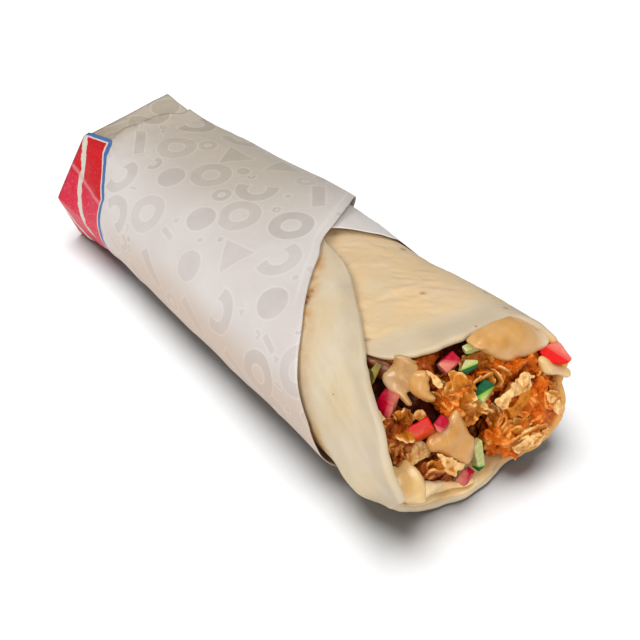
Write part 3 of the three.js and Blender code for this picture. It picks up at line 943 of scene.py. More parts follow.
def bread_wall(x, degrees):
    """How far in the bread's inner face is, and 0 where there is no bread."""
    wall = np.zeros_like(degrees)
    for turn in (0, 360):
        at = degrees + turn
        there = (at > BREAD_START) & (at < BREAD_END)
        front = np.where(there, curve(BREAD_FRONT, at), 0)
        here = bread_inset(x, at) + BREAD_THICKNESS
        wall = np.maximum(wall, np.where(x < front + 1, here, 0))
    return wall


def held_in_bread(points, lip=3.2):
    """The filling stays inside the bread and slopes away from its edge."""
    degrees, inset = roll_place(points)
    held = points.copy()
    # it slopes less over the lower lip, where sauce has pooled
    slope = 1.3 - swell(degrees, 262, 275, 332, 348)
    limit = rim_x(degrees) - lip + slope * np.maximum(inset - BREAD_WALL, 0)
    held[:, 0] = np.minimum(points[:, 0], limit)
    short = np.maximum(bread_wall(held[:, 0], degrees) + 0.4 - inset, 0)
    inward = unit(np.array([0, 30]) - points[:, 1:])
    held[:, 1:] += inward * np.minimum(short, 4)[:, None]
    return held


def billows(points, size, salt):
    """Rounded folds, 1 along their backs, with sharp creases at 0 between them."""
    return np.minimum(np.abs(ripple(points, size, salt)) * 1.6, 1) ** 0.6


def crag_height(points, salt):
    """The crust's folds, in mm."""
    shift = np.stack([ripple(points, 7, salt + k) for k in (1, 2, 3)], 1)
    warped = points + 3.0 * shift
    lumps = 0.9 * ripple(points, 9, salt + 8)
    coarse = 1.7 * billows(warped, 6.0, salt + 4)
    middle = 1.1 * billows(warped, 3.0, salt + 5)
    fine = 0.4 * ridges(warped, 1.6, salt + 6)
    return lumps + coarse + middle + fine - 1.9


def curl_over(points, normals, height, salt):
    """Crests lean to one side, the way crisp batter curls."""
    lean = np.stack([ripple(points, 12, salt + k) for k in (11, 12, 13)], 1)
    lean -= normals * (lean * normals).sum(1, keepdims=True)
    lean *= 0.9 * np.maximum(height, 0)[:, None]
    return points + normals * height[:, None] + lean


def room_by_cuts(points):
    """0 on the cut vegetables, and 1 well clear of them."""
    middles = np.array([middle for _, middle, *_ in CUTS], float)
    away = np.linalg.norm(points[:, None] - middles, axis=2).min(1)
    return ease(away, 3.5, 7)


def skin_of(pieces):
    """The pieces' surface, in mm, to look for places on."""
    corners, polygons = [], []
    for piece in pieces:
        first = len(corners)
        polygons += [[first + k for k in face.vertices] for face in piece.data.polygons]
        corners += points_of(piece).tolist()
    return BVHTree.FromPolygons(corners, polygons)


def fused(piece, size, rounds):
    """Makes one skin of a piece's parts, which keep their tones."""
    before = skin_of([piece])
    tones = np.empty(len(piece.data.vertices), np.float32)
    piece.data.attributes["crag"].data.foreach_get("value", tones)
    corners = np.array([face.vertices[0] for face in piece.data.polygons])
    remesh(piece, size)
    relax(piece, rounds)
    points = points_of(piece)
    found = [before.find_nearest(Vector(point))[2] for point in points]
    veins = 0.16 * ridges(points, 1.5, 77)
    raise_points(piece, veins)
    paint(piece, crag=np.clip(tones[corners[found]] + 0.5 * veins, 0, 1))


def chicken(name, node, salt, material, folds=0, flakes=0, size=0.34):
    piece = node_copy(name, node)
    remesh(piece, 0.5)
    place_points(piece, held_in_bread(points_of(piece)))
    relax(piece, 5)
    points, normals = points_of(piece), read(piece, "normal")
    room = room_by_cuts(points)
    height = crag_height(points, salt) * (0.4 + 0.6 * room) - 1.3 * (1 - room)
    place_points(piece, held_in_bread(curl_over(points, normals, height, salt), 2.4))
    # the crag tone follows the crust's height, low in its creases and by the cut
    # vegetables, for painted shade
    paint(piece, crag=np.clip(0.3 + (height + 1) / 3.4, 0, 1))
    thin = scattered_folds(piece, folds, flakes, salt)
    if thin:
        thin = join(thin, name + "_folds")
        thicken(thin, BATTER_THICKNESS)
        piece = join([piece, thin], name)
    fused(piece, size, 2)
    place_points(piece, held_in_bread(points_of(piece), 2.8))
    finish_piece(piece, material, "chicken", node)
    return piece


# Plates of crust: how far each stands off the slope, its tone, and its outline's
# corners as y, z, y, z and so on
PLATES = [
    (10.4, 0.66, [
        21.0, 41.2, 24.0, 38.9, 25.2, 37.6, 23.1, 37.1, 23.2, 35.2, 19.8, 35.2,
        16.0, 35.4, 12.7, 35.3, 10.0, 33.5, 7.5, 35.2, 6.9, 38.4, 10.9, 38.1,
        13.5, 39.0, 13.9, 41.0, 16.1, 40.5, 18.3, 39.4, 19.5, 40.6,
    ]),
    (11.7, 0.3, [
        21.8, 35.0, 21.2, 32.2, 19.1, 31.5, 16.1, 30.6, 12.6, 30.2, 10.6, 32.1,
        9.7, 34.4, 13.0, 34.2, 15.9, 34.8, 19.0, 35.7,
    ]),
    (1.4, 0.85, [
        -21.9, 31.1, -19.0, 30.6, -17.1, 28.6, -15.9, 26.3, -15.9, 25.2, -18.7, 25.6,
        -21.0, 25.4, -23.3, 24.9, -25.5, 25.7, -27.0, 27.1, -26.7, 28.5, -24.6, 29.9,
    ]),
    (8.2, 0.85, [
        -18.1, 30.3, -16.1, 29.4, -13.8, 26.7, -11.2, 23.9, -8.7, 21.7, -9.9, 20.5,
        -12.4, 21.2, -13.5, 20.4, -15.5, 21.5, -16.9, 23.8, -17.4, 26.1, -17.9, 28.0,
    ]),
    (1.2, 0.6, [
        -17.1, 37.4, -15.7, 38.1, -13.5, 37.3, -14.2, 35.2, -16.0, 35.2, -17.7, 35.9,
    ]),
    (12.4, 0.95, [
        -31.1, 46.2, -29.3, 45.6, -29.0, 44.6, -28.8, 43.5, -32.3, 43.3, -32.1, 44.0,
    ]),
    (2.6, 0.78, [
        -7.7, 47.2, -6.7, 46.7, -5.4, 45.2, -3.1, 43.9, -3.4, 43.0, -5.5, 42.7,
        -6.8, 42.7, -7.6, 44.1, -7.9, 45.7,
    ]),
    (13.0, 0.72, [
        27.1, 32.2, 29.7, 30.0, 32.4, 25.5, 33.7, 21.3, 31.6, 20.9, 28.0, 26.0,
        25.8, 30.3,
    ]),
    (12.5, 0.72, [
        8.5, 21.3, 14.6, 20.5, 21.8, 19.4, 26.1, 18.5, 24.2, 16.5, 16.8, 16.8,
        9.8, 18.2,
    ]),
    (9.0, 0.8, [
        -10.8, 52.3, -9.6, 51.4, -8.6, 49.8, -8.4, 48.0, -9.8, 46.9, -10.6, 48.1,
        -10.9, 49.5,
    ]),
    (-0.4, 0.7, [
        -12.9, 40.8, -11.4, 40.3, -9.1, 39.8, -7.6, 38.4, -5.9, 37.8, -6.4, 36.7,
        -7.4, 36.7, -9.4, 38.0, -11.4, 38.8, -12.8, 40.0,
    ]),
]

# Folds of crisp batter: the x, y, z of each place that one passes, its height, and how
# many lie side by side
RUFFLES = [
    ([199.4, -5.7, 40, 199.1, -4, 43.4, 200.7, -2.5, 46.4, 202.2, 0.6, 45.5], 2.4, 2),
    ([202.2, 0.6, 45.5, 203.4, 6, 43.5, 203.6, 8, 39.5, 203.4, 5.5, 36], 2.0, 1),
    ([202.2, -1.2, 45.9, 201.9, -2.9, 41.1, 202.6, 0.6, 34.5, 203.4, 5.5, 29], 2.4, 3),
    ([203.1, 2.9, 36, 203.4, 6.5, 31, 203.8, 9, 26, 208, 7.6, 24], 2.2, 2),
    ([197.9, -0.5, 46.4, 197.1, 4, 46.4, 197.5, 9.5, 45.5, 200.2, 10.2, 44], 2.2, 2),
    ([200.2, 10.2, 44.8, 201.4, 12.5, 41, 201.2, 12.5, 36.5], 2.0, 2),
    ([194.7, -28.4, 43.9, 194.8, -22.2, 39, 197.9, -24.6, 38.2, 197.6, -30.1, 41.2],
     2.2, 2),
    ([189.3, -13.4, 41.7, 191.5, -9.7, 40, 194.5, -7, 38.8, 196.4, -5, 40], 2.4, 1),
    ([210.9, 27.5, 31.1, 213, 29.4, 27.5, 212.4, 33.4, 20.5], 1.8, 2),
    ([207, 31.8, 30.3, 210.7, 33, 26.1, 211.2, 34.5, 20], 1.5, 1),
    ([211.7, 11.3, 16.3, 214, 14.5, 17.4, 215, 19, 17.8, 213.4, 26, 14], 1.8, 2),
    ([210.1, 8, 22.5, 212.2, 11.6, 22.6, 212.8, 17, 21.2, 213, 22, 22], 1.8, 2),
    ([206.8, -23, 22.4, 206, -20.2, 23.4, 208.8, -19.2, 22.3, 211.3, -18.3, 19.9],
     2.0, 2),
    ([184.7, -25, 50.4, 183.5, -20, 46.4, 184.8, -17.2, 44.4], 2.0, 1),
]


def slab(outline, thickness, torn=0.0, salt=0, spread=0.0):
    """A flat slab on x = 0, its points, and how far in from its outline they are.

    The outline is [y, z] pairs in one row, and can be torn a little or spread.
    """
    corners = np.reshape(outline, (-1, 2)).astype(float)
    # a smooth path round it three times over, of which the middle lap is taken
    laps = np.concatenate([corners, corners, corners, corners[:1]])
    at = distances(laps)
    lap = at[len(corners)]
    ring = smooth_path(at, laps, lap + np.linspace(0, lap, 120, endpoint=False))
    ahead = np.roll(ring, -1, axis=0) - np.roll(ring, 1, axis=0)
    outward = unit(np.column_stack([ahead[:, 1], -ahead[:, 0]]))
    # an outline that runs clockwise turns its other side out
    y, z = ring.T
    outward *= np.sign((y * np.roll(z, -1) - z * np.roll(y, -1)).sum())
    spot = np.column_stack([ring, ring[:, 0] * 0])
    ring += spread * outward
    ring += torn * np.stack([ripple(spot, 1.7, salt), ripple(spot, 1.7, salt + 1)], 1)
    deselect()
    bpy.ops.mesh.primitive_circle_add(vertices=120, fill_type="NGON")
    piece = bpy.context.active_object
    place_points(piece, np.column_stack([ring[:, 0] * 0, ring]))
    thicken(piece, thickness)
    remesh(piece, 0.33)
    relax(piece, 5)
    points = points_of(piece)
    inward = np.linalg.norm(points[:, None, 1:] - ring[None], axis=2).min(1)
    return piece, points, inward


def plate(off, tone, outline, salt):
    """A broken plate of crust with its edges curling."""
    piece, points, inward = slab(outline, 1.1, 0.5, salt)
    edge = np.exp(-inward / 1.2)
    folds = ridges(points, 3.6, salt + 2)
    points[:, 0] += off + face_x(points[:, 1], points[:, 2])
    points[:, 0] += 1.3 * edge * ripple(points, 4, salt + 3) + 0.8 * folds * (1 - edge)
    place_points(piece, points)
    paint(piece, crag=np.clip(tone + 0.3 * edge + 0.3 * folds * (1 - edge), 0, 1))
    return piece


def flake(middle, along, outward, length, width, curl, tone, salt):
    """One thin sheet of crisp batter with a torn outline."""
    piece, u, v = grid_piece("flake", 24, 16)
    s, t = 2 * u - 1, 2 * v - 1
    # the square is drawn in to a rounded outline
    s, t = s * np.sqrt(1 - t * t / 2), t * np.sqrt(1 - s * s / 2)
    along = np.array(Vector(along).normalized())
    outward = unit(outward - along * (outward @ along))
    wide = np.cross(outward, along)
    rim = np.hypot(s, t)
    spot = np.stack([s * length, t * width, s * 0], 1)
    torn = 0.38 * ripple(spot, 0.3 * width + 1, salt)
    torn += 0.3 * ripple(spot, 1.5, salt + 1)
    s, t = s * (1 + torn * rim**2), t * (1 + torn * rim**2)
    folds = 0.5 * ripple(spot, 4, salt + 2) + 0.35 * ridges(spot, 2.6, salt + 3)
    lift = curl * (0.8 * rim**3 + folds)
    points = middle + np.outer(s * length / 2, along) + np.outer(t * width / 2, wide)
    place_points(piece, held_in_bread(points + np.outer(lift, outward), 2.0))
    paint(piece, crag=np.clip(tone + 0.35 * (rim**2 - 0.5) + 0.15 * folds, 0, 1))
    return piece


def run_over(skin, start, heading, length, salt):
    """A wandering path over the chicken, in mm."""
    path = [start]
    for step in range(int(length / PATH_STEP)):
        near, normal, _, _ = skin.find_nearest(Vector(path[-1]))
        normal = np.array(normal)
        heading = unit(heading - normal * (heading @ normal))
        bend = 0.25 * ripple([[step * PATH_STEP, 0, 0]], 4, salt)[0]
        heading += bend * np.cross(normal, heading)
        path.append(np.array(near) + PATH_STEP * heading)
    return np.array(path)


def evened(values, reach):
    """Each row averaged with its neighbours."""
    padded = np.pad(values, ((reach, reach), (0, 0)), mode="edge")
    span = 2 * reach + 1
    return sum(padded[k : k + len(values)] for k in range(span)) / span


def ruffle(skin, path, reach, salt):
    """A strip of batter rooted on the chicken and lying over like a shingle."""
    found = [skin.find_nearest(Vector(point)) for point in path]
    foot = evened(np.array([near for near, *_ in found]), 4)
    outward = unit(evened(np.array([normal for _, normal, *_ in found]), 9))
    side = np.cross(outward, np.gradient(foot, axis=0))
    side = evened(side / (np.linalg.norm(side, axis=1, keepdims=True) + 1e-9), 4)
    piece, u, v = grid_piece("ruffle", len(path) - 1, 8)
    i = np.round(u * (len(path) - 1)).astype(int)
    run = distances(foot)
    s = run[i]
    spot = np.stack([s, s * 0, s * 0], 1)
    taper = np.clip(np.minimum(s, run[-1] - s) / 2.5, 0.02, 1) ** 0.5
    scallop = np.abs(np.sin(np.pi * s / 3.8 + 1.5 * ripple(spot, 5, salt + 1))) ** 0.5
    torn = 0.7 + 0.4 * scallop + 0.25 * ripple(spot, 1.6, salt + 2)
    lean = (1.05 + 0.45 * ripple(spot, 5, salt + 4)) * (0.45 + 0.55 * v)
    length = v * reach * taper * torn
    spot = np.stack([s, v * reach * 0.6, s * 0], 1)
    veins = 0.3 * ridges(spot, 1.9, salt + 5) * v
    rise = length * np.cos(lean) + veins - 0.5
    over = length * np.sin(lean)
    points = foot[i] + outward[i] * rise[:, None] + side[i] * over[:, None]
    place_points(piece, held_in_bread(points, 2.2))
    crag = 0.28 + 0.3 * v + 0.4 * ease(v, 0.6, 1) + 0.22 * ripple(spot, 3.5, salt + 6)
    paint(piece, crag=np.clip(crag, 0, 1))
    return piece


def scattered_folds(piece, folds, flakes, salt):
    """Folds and small flakes over a piece of chicken, where it shows."""
    skin = skin_of([piece])
    points, normals = points_of(piece), read(piece, "normal")
    degrees, inset = roll_place(points + 2.5 * normals)
    shown = points[:, 0] > face_x(*points[:, 1:].T) - 5
    shown &= normals @ [0.9, 0, FACE_LEAN] > 0.25
    shown &= inset > bread_wall(points[:, 0], degrees) + 1.5
    shown &= inset > BREAD_INSET + BREAD_THICKNESS + 1.5
    shown &= room_by_cuts(points) > 0.8
    points, normals = points[shown], normals[shown]
    picks = np.random.default_rng(salt)
    made = []
    for k in picks.choice(len(points), folds, replace=False) if folds else ():
        # neighbours run nearly side by side
        drift = [ripple(points[k : k + 1], 11, way)[0] for way in (71, 72, 73)]
        heading = np.cross(normals[k], drift) + 0.1 * picks.normal(size=3)
        path = run_over(skin, points[k], heading, picks.uniform(4, 10), salt)
        made.append(ruffle(skin, path, picks.uniform(1.8, 3.6), salt))
        salt += 9
    for k in picks.choice(len(points), flakes, replace=False) if flakes else ():
        along = np.cross(normals[k], picks.normal(size=3))
        outward = normals[k] + 0.6 * picks.normal(size=3)
        size = (picks.uniform(3, 6), picks.uniform(2, 3.8), picks.uniform(0.8, 1.5))
        tone = picks.uniform(0.4, 0.8)
        made.append(flake(points[k], along, outward, *size, tone, salt))
        salt += 9
    return made


def batter_folds(material, pieces):
    """The main folds and plates of crust, which stand off the chicken that shows."""
    skin = skin_of(pieces)
    made = []
    for i, (places, reach, beside) in enumerate(RUFFLES):
        places = np.reshape(places, (-1, 3)).astype(float)
        at = distances(places)
        path = smooth_path(at, places, np.linspace(0, at[-1], int(at[-1] / PATH_STEP)))
        shift = FOLD_SPACING * unit(np.cross(path[-1] - path[0], [1, 0, FACE_LEAN]))
        for k in range(-(beside // 2), beside - beside // 2):
            moved = path + shift * k + 0.5 * ripple(path, 6, 400 + i)[:, None]
            made.append(ruffle(skin, moved, reach * 1.6, 410 + 9 * i + k))
    thin = join(made, "batter_folds")
    thicken(thin, BATTER_THICKNESS)
    plates = [plate(*row, 300 + 7 * i) for i, row in enumerate(PLATES)]
    piece = join([thin, *plates], "batter_folds")
    fused(piece, 0.3, 1)
    finish_piece(piece, material, "chicken")
    return piece


# Sauce


def spiced_sauce(name, deep, thin):
    """Spiced mayonnaise: smooth, wet and slightly clear."""
    material, tree = new_material(
        name,
        Roughness=0.32,
        IOR=1.45,
        Subsurface_Weight=0.35,
        Subsurface_Radius=(2.0, 1.3, 0.6),
        Subsurface_Scale=1.2 * MM,
        Coat_Weight=0.4,
        Coat_Roughness=0.12,
    )
    local = add(tree, "TexCoord", out="Object")
    links = {"Vector": local, "Scale": 1 / (7 * MM), "Detail": 3}
    cloudy = add(tree, "MapRange", (add(tree, "TexNoise", links), 0.35, 0.65))
    creamy = add(tree, "Attribute", out="Fac", attribute_name="creamy")
    # flecks of spice, half a millimetre across
    links = {"Vector": local, "Scale": 1 / (3.4 * MM)}
    spots = add(tree, "TexVoronoi", links).node.outputs
    pick = add(tree, "SeparateColor", (spots["Color"],))
    size = add(tree, "MapRange", (pick, 0.6, 1, 0, 0.1))
    speck = add(tree, "Math.LESS_THAN", (spots["Distance"], size))
    speck = add(tree, "Math.MULTIPLY", (speck, 0.5))
    # the pale patch is the top dollop's pale end, and on the streak a painted highlight
    colour = deep
    for by, tint in ((cloudy, thin), (creamy, "#e6d4b4"), (speck, "#9a5a22")):
        colour = add(tree, "Mix", {0: by, 6: colour, 7: tint}, 2, data_type="RGBA")
    finish_surface(tree, colour)
    return material


# Sauces: how far each stands off the slope, its thickness, and its outline's corners
SAUCES = {
    "sauce_top": (6.5, 3.8, [
        4.5, 56.3, 6.3, 57.3, 9.3, 57.6, 13.2, 57.5, 16.8, 57.2, 20.4, 56.8, 24.0, 55.9,
        27.4, 53.9, 30.2, 51.3, 32.6, 48.6, 35.2, 47.0, 36.3, 45.0, 35.6, 43.5,
        33.4, 42.4, 30.4, 42.1, 27.0, 42.5, 23.3, 43.3, 19.3, 44.5, 15.4, 46.3,
        12.3, 48.8, 9.3, 51.5, 6.8, 53.9,
    ]),
    "sauce_middle": (8.2, 1.8, [
        -6.7, 39.0, -6.2, 36.2, -5.5, 33.5, -4.9, 30.0, -3.4, 27.4, -4.7, 24.0,
        -6.6, 21.7, -8.8, 22.2, -11.1, 25.0, -14.0, 27.9, -16.6, 30.4, -19.1, 31.7,
        -19.5, 33.0, -18.3, 34.2, -16.3, 35.3, -13.0, 36.3, -9.9, 37.2,
    ]),
    "sauce_near": (7.2, 4.4, [
        -27.5, 30.3, -29.9, 30.0, -33.1, 30.5, -36.0, 29.7, -37.3, 27.3, -37.0, 24.8,
        -34.0, 22.4, -30.9, 20.1, -27.6, 19.6, -26.2, 22.3, -25.5, 25.4, -25.9, 28.1,
        -26.7, 29.7,
    ]),
    "sauce_far": (11.6, 1.8, [
        27.7, 42.5, 29.7, 42.6, 32.2, 40.2, 35.1, 37.2, 38.1, 34.5, 40.8, 32.3,
        41.1, 30.7, 39.3, 29.7, 36.6, 31.5, 34.0, 33.7, 30.8, 35.3, 28.7, 37.2,
        27.7, 40.0,
    ]),
    "sauce_streak": (8.0, 1.2, [
        -16.0, 55.3, -14.4, 55.3, -13.2, 53.9, -12.8, 51.8, -13.6, 50.0, -15.0, 48.5,
        -16.0, 46.9, -17.3, 46.2, -17.7, 46.7, -18.5, 45.7, -18.5, 44.6, -18.4, 43.2,
        -19.0, 43.0, -19.5, 44.2, -20.2, 45.1, -21.0, 45.8, -21.3, 46.9, -21.3, 48.0,
        -20.6, 49.2, -19.1, 50.2, -17.8, 51.4, -16.7, 53.0,
    ]),
    "curd": (9.0, 1.4, [
        -14.3, 50.7, -13.0, 51.4, -11.6, 51.6, -11.4, 50.4, -12.2, 48.9, -12.4, 47.3,
        -13.0, 46.2, -12.5, 45.1, -12.0, 44.5, -13.0, 44.1, -14.5, 44.7, -15.8, 45.4,
        -16.4, 46.6, -15.9, 48.1, -15.1, 49.5,
    ]),
    "smear": (5.0, 1.2, [
        -22.0, 52.3, -20.5, 52.1, -19.0, 52.0, -17.6, 51.6, -17.0, 50.3, -16.5, 49.6,
        -17.6, 48.5, -19.4, 47.7, -20.9, 47.7, -21.6, 48.9, -22.1, 50.3,
    ]),
    "lip_pool": (0, 1.4, [
        -36.2, 25.5, -33.0, 25.0, -29.0, 22.0, -25.0, 20.6, -21.0, 18.6, -16.0, 15.0,
        -11.6, 10.5, -8.0, 8.4, -4.0, 8.6, -1.0, 7.0, -2.0, 5.4, -8.0, 5.2, -14.0, 5.4,
        -20.3, 6.4, -27.0, 9.6, -32.5, 15.5, -36.0, 22.0,
    ]),
}


# where a sauce is palest, as y, z, mm across and how pale: the top dollop's pale end,
# and a painted highlight on the streak
CREAMY = {"sauce_top": (33.4, 45.3, 4.5, 0.8), "sauce_streak": (-20.6, 47.2, 2.2, 0.35)}
# the way the sauce was poured, on to the mouth from above
POURED = np.array([-0.553, 0.46, -0.695])


def sinks_to(places, skin):
    """How far each place is from the crust along the pour, evened over some mm."""
    side = unit(np.cross(POURED, [0, 0, 1]))
    total = np.zeros(len(places))
    above = 12
    for a, b in product((-1.2, 0, 1.2), repeat=2):
        starts = places + a * side + b * np.cross(side, POURED) - above * POURED
        for k, start in enumerate(starts):
            found = skin.ray_cast(Vector(start), Vector(POURED), 2 * above)[3]
            total[k] += 2 * above if found is None else found
    return np.clip(total / 9 - above, -4.5, 1.5)


def sauce(name, key, salt, material, over=None):
    """A dollop that has run and settled, thickest inside its outline.

    A thin one lies over the skin that it is given, and the lip's over the bread.
    """
    off, thickness, outline = SAUCES[key]
    piece, points, inward = slab(outline, thickness, spread=0.7 if over else 0)
    front = ease(points[:, 0], -thickness / 2, thickness / 2)
    swollen = 0.6 * thickness * (1 - np.exp(-inward / 2.4))
    sunk = 1.3 * np.exp(-inward / 1.3)
    run = -sunk + 0.5 * ripple(points, 7, salt) + 0.22 * ripple(points, 3, salt + 1)
    height = points[:, 0] + front * swollen + run
    if key == "lip_pool":
        degrees, inset = roll_place(points)
        over_lip = rim_x(degrees) - 1.9 + 0.3 * np.maximum(inset - BREAD_WALL, 0)
        points[:, 0] = height + over_lip
    else:
        points[:, 0] = off + face_x(points[:, 1], points[:, 2])
        if over:
            drop = sinks_to(points, over) - height - 0.4 * thickness
            points += np.outer(drop, POURED)
        else:
            points[:, 0] += height
    if key in CREAMY:
        y, z, across, strength = CREAMY[key]
        away = np.hypot(points[:, 1] - y, points[:, 2] - z)
        paint(piece, creamy=strength * np.exp(-((away / across) ** 2)))
    place_points(piece, points)
    relax(piece, 4)
    name_piece(piece, name)
    nodes = [key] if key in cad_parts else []
    finish_piece(piece, material, "sauce", *nodes)


def lip_sauce(material):
    """A thin film on the inside of the bread's lower lip."""
    piece, u, v = grid_piece("sauce_lip_film", 70, 26)
    turn, depth = 72, 12.4
    degrees = 250 + turn * u
    x = curve(BREAD_FRONT, degrees) - 13 + depth * v
    plain = roll_point(x, degrees, 0)
    to_side = np.minimum(u, 1 - u) * turn * MM_PER_DEGREE
    edge = np.minimum(to_side, np.minimum(v * depth, (1 - v) * depth))
    swollen = 0.9 * (1 - np.exp(-edge / 1.6))
    swollen += 0.5 * ripple(plain, 6, 51) * ease(edge, 0, 2)
    inset = bread_inset(x, degrees) + BREAD_THICKNESS + swollen - 0.25
    place_points(piece, roll_point(x, degrees, inset))
    thicken(piece, 0.5, offset=-1)
    finish_piece(piece, material, "sauce")


# Vegetables


def cut_vegetable(name, flesh, inner, skin, under_skin, seed_size):
    """A raw vegetable cut with a knife: wet flesh, a thin glossy skin on one side."""
    material, tree = new_material(
        name,
        Roughness=0.3,
        IOR=1.36,
        Specular_IOR_Level=0.15,
        Subsurface_Weight=0.15,
        Subsurface_Radius=(1.5, 0.6, 0.5),
        Subsurface_Scale=0.7 * MM,
        Coat_Weight=0.05,
        Coat_Roughness=0.1,
    )
    local = add(tree, "TexCoord", out="Object")
    links = {"Vector": local, "Scale": 1 / (seed_size * MM), "Detail": 3}
    cloudy = add(tree, "MapRange", (add(tree, "TexNoise", links), 0.35, 0.65))
    depth = add(tree, "Attribute", out="Fac", attribute_name="skin")
    below = add(tree, "MapRange", (depth, -0.5, -0.02))
    on_skin = add(tree, "MapRange", (depth, -0.04, 0.04))
    colour = flesh
    for by, tint in ((cloudy, inner), (below, under_skin), (on_skin, skin)):
        colour = add(tree, "Mix", {0: by, 6: colour, 7: tint}, 2, data_type="RGBA")
    finish_surface(tree, colour, (1.2, 0.08, 2, 0.5))
    return material


# name, middle, the way its skin faces and how far out that begins
CUTS = [
    ("tomato_wedge", [206, 35.5, 41], (0.11, -0.74, -0.57), 0.08),
    ("tomato_dice_1", [193, -2.4, 50.4], (-0.47, 0.52, 0.72), 0.3),
    ("tomato_dice_2", [189.1, -25.4, 43], (-0.75, -0.68, 0.14), 0.0),
    ("tomato_dice_3", [199.4, -19, 36.6], (-0.7, 0.19, 0.68), 0.2),
    ("tomato_dice_4", [202.9, -14.1, 38.6], (-0.22, 0.71, 0.65), -0.2),
    ("tomato_dice_5", [210.6, -7.7, 14.3], (0.66, 0.69, -0.07), 0.2),
    ("cucumber_dice_1", [202.7, 4.6, 40.4], (-0.77, 0, 0.61), 0.0),
    ("cucumber_slice", [196.6, 3.2, 48.8], (0.73, -0.1, -0.68), 0.3),
    ("cucumber_stick_1", [194.5, 7.3, 53], (0.5, -0.4, -0.7), 0.8),
    ("cucumber_stick_2", [208.5, -0.5, 18], (0.53, -0.44, -0.72), 0.72),
    ("cucumber_dice_2", [179.8, -23.2, 49.5], (-0.64, -0.77, 0), 0.5),
]


def vegetable(node, middle, skin_side, skin_from, material):
    piece = node_copy(node + "_cut", node)
    corners = {"limit_method": "ANGLE", "angle_limit": radians(35)}
    apply_modifier(piece, "BEVEL", width=0.35 * MM, segments=3, **corners)
    remesh(piece, 0.28)
    relax(piece, 3)
    points = points_of(piece)
    across = (points - middle) @ skin_side
    skin = (across / np.abs(across).max() - skin_from) / (1 - skin_from)
    paint(piece, skin=np.clip(skin, -1, 1))
    raise_points(piece, 0.12 * ripple(points, 2.4, 41))
    finish_piece(piece, material, node.split("_")[0], node)


# Floor, light, camera


def floor():
    deselect()
    bpy.ops.mesh.primitive_plane_add(size=6, location=(0, 0, -0.2 * MM))
    plane = bpy.context.active_object
    plane.name = "floor"
    material, _ = new_material(
        "white_board",
        Base_Color=(0.45, 0.45, 0.45, 1),
        Roughness=0.9,
        Specular_IOR_Level=0.1,
    )
    plane.data.materials.append(material)
    return plane


# the lamps, in metres: place, width, power, and whether the board or the rest is lit
LAMPS = [
    ("board_wash", (-0.12, -0.08, 1.28), 1.0, 42.5, "INCLUDE"),
    ("near_left", (0.1, -0.78, 1.0), 0.6, 8.1, "EXCLUDE"),
    ("front", (0.9, -0.4, 0.75), 0.8, 4.7, "EXCLUDE"),
    ("overhead", (0.3, 0.2, 1.1), 0.6, 3.8, "EXCLUDE"),
]
LIT_PLACE = Vector((0.03, 0, 0.03))


def softbox(name, place, size, power, board_state, board):
    """A round softbox that lights either the board or what stands on it."""
    data = bpy.data.lights.new(name, "AREA")
    data.shape = "DISK"
    data.size = size
    data.energy = power
    lamp = bpy.data.objects.new(name, data)
    bpy.context.scene.collection.objects.link(lamp)
    lamp.location = place
    aim = LIT_PLACE - Vector(place)
    lamp.rotation_euler = aim.to_track_quat("-Z", "Y").to_euler()
    lit = bpy.data.collections.new(name + "_lights")
    lit.objects.link(board)
    lamp.light_linking.receiver_collection = lit
    lit.collection_objects[0].light_linking.link_state = board_state


def studio():
    world = bpy.data.worlds.new("studio")
    bpy.context.scene.world = world
    world.use_nodes = True
    background = world.node_tree.nodes["Background"]
    background.inputs["Color"].default_value = (1, 1, 1, 1)
    background.inputs["Strength"].default_value = 0.3
    board = floor()
    for lamp in LAMPS:
        softbox(*lamp, board)


def camera():
    """A camera fitted to the photograph, aimed a little inside the mouth's rim."""
    data = bpy.data.cameras.new("camera")
    data.lens = 60.456
    data.sensor_width = 36
    data.clip_start = 0.01
    eye = bpy.data.objects.new("camera", data)
    bpy.context.scene.collection.objects.link(eye)
    aim, distance = Vector((0.02693, -0.00649, 0.028)), 0.38749
    azimuth, elevation = radians(50.19), radians(44.01)
    eye.rotation_euler = (radians(90) - elevation, 0, azimuth)
    back = eye.rotation_euler.to_matrix() @ Vector((0, 0, 1))
    eye.location = aim + back * distance
    bpy.context.scene.camera = eye


# The whole gyro

camera()
studio()
bpy.context.scene.view_settings.view_transform = "Standard"

wrapper_paper(greaseproof_paper())
flatbread_wrap(griddled_flatbread())

brown = fried_batter("fried_batter_brown", "#260900", "#8c3a06", "#d4964a")
orange = fried_batter("fried_batter_orange", "#5c1400", "#cc600e", "#eeac54")
# painted shade: a near black batter on the filling's core, for the shaded hollows
# between the pieces
dark = fried_batter("fried_batter_dark", "#1c0400", "#4c1804", "#94501c")
pale = fried_batter("fried_batter_pale", "#6c2802", "#c0721e", "#f2cc8c")
# the chicken that shows, in its nodes' order: how many folds and flakes lie on each
shown = []
for name, batter, folds, flakes in (
    ("chicken_right", orange, 14, 16),
    ("chicken_upper", orange, 14, 8),
    ("chicken_centre", orange, 20, 6),
    ("chicken_near", brown, 18, 6),
    ("chicken_lower", brown, 18, 6),
    ("chicken_top", brown, 14, 5),
):
    i = len(shown) + 1
    node, salt = f"chicken_piece_{i}", 91 + 10 * i
    shown.append(chicken(name, node, salt, batter, folds, flakes))
chicken("chicken_core", "filling", 161, dark, size=0.8)
shown.append(batter_folds(pale, shown))
crust = skin_of(shown)

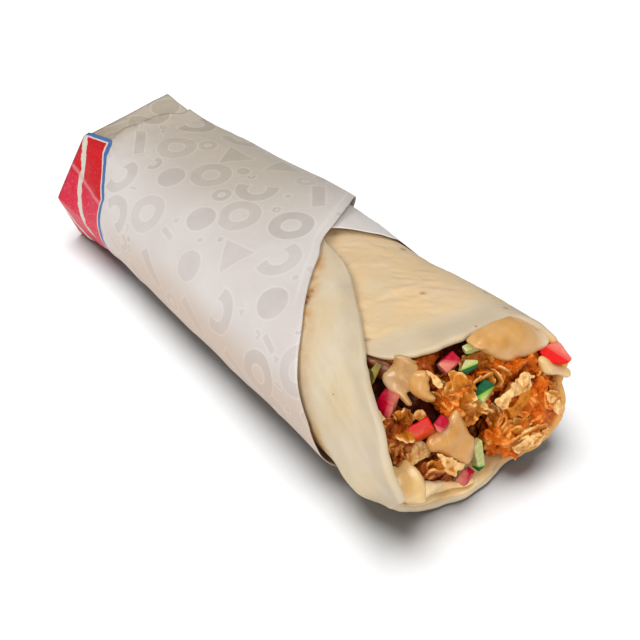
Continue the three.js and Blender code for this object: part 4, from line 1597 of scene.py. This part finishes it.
gold = spiced_sauce("spiced_sauce_gold", "#c9924b", "#d3a363")
tan = spiced_sauce("spiced_sauce_tan", "#c4883e", "#d09c58")
cream = spiced_sauce("spiced_sauce_cream", "#d8ae6c", "#e2c28a")
# painted shade: a darker copy of the tan sauce, for the streak that lies in shade
shaded = spiced_sauce("spiced_sauce_brown", "#b08044", "#cca26a")
# painted shade: a dark brown sauce for the smear, which lies in shade deep in the mouth
soaked = spiced_sauce("spiced_sauce_soaked", "#602c08", "#7c3e10")
# painted light: a paler copy of the sauce for the lower lip, which lies under the
# filling's shade
thin = spiced_sauce("spiced_sauce_thin", "#f6c888", "#f8daaa")
sauce("sauce_top_dollop", "sauce_top", 201, gold)
sauce("sauce_far_dollop", "sauce_far", 202, cream)
sauce("sauce_middle_pool", "sauce_middle", 203, tan, crust)
sauce("sauce_near_dollop", "sauce_near", 204, cream)
sauce("sauce_streak_run", "sauce_streak", 205, shaded, crust)
sauce("sauce_curd", "curd", 208, gold, crust)
sauce("sauce_smear", "smear", 206, soaked, crust)
sauce("sauce_lip_pool", "lip_pool", 207, thin)
lip_sauce(thin)

# flesh, the flesh round its seeds, skin, flesh under the skin, and mm across the seeds
coral, crimson, red, cucumber, coated = (
    cut_vegetable(*look)
    for look in (
        ("raw_tomato_coral", "#c03004", "#c43c0c", "#c80c00", "#c02404", 2),
        ("raw_tomato_crimson", "#c8665a", "#d4826c", "#ac0428", "#ba3444", 2),
        ("raw_tomato_red", "#d8685c", "#dc8270", "#d80600", "#d8443a", 2),
        ("raw_cucumber", "#b2b266", "#c6c68c", "#0c5430", "#7ca80c", 1.5),
        ("sauced_cucumber", "#7e7034", "#8e7e40", "#4a4a1c", "#6a6420", 1.5),
    )
)
# cucumber_dice_2 is olive from its sauce and from painted shade, under the smear
others = {"tomato_wedge": red, "tomato_dice_3": coral, "cucumber_dice_2": coated}
for node, *how in CUTS:
    usual = crimson if node.startswith("tomato") else cucumber
    vegetable(node, *how, others.get(node, usual))
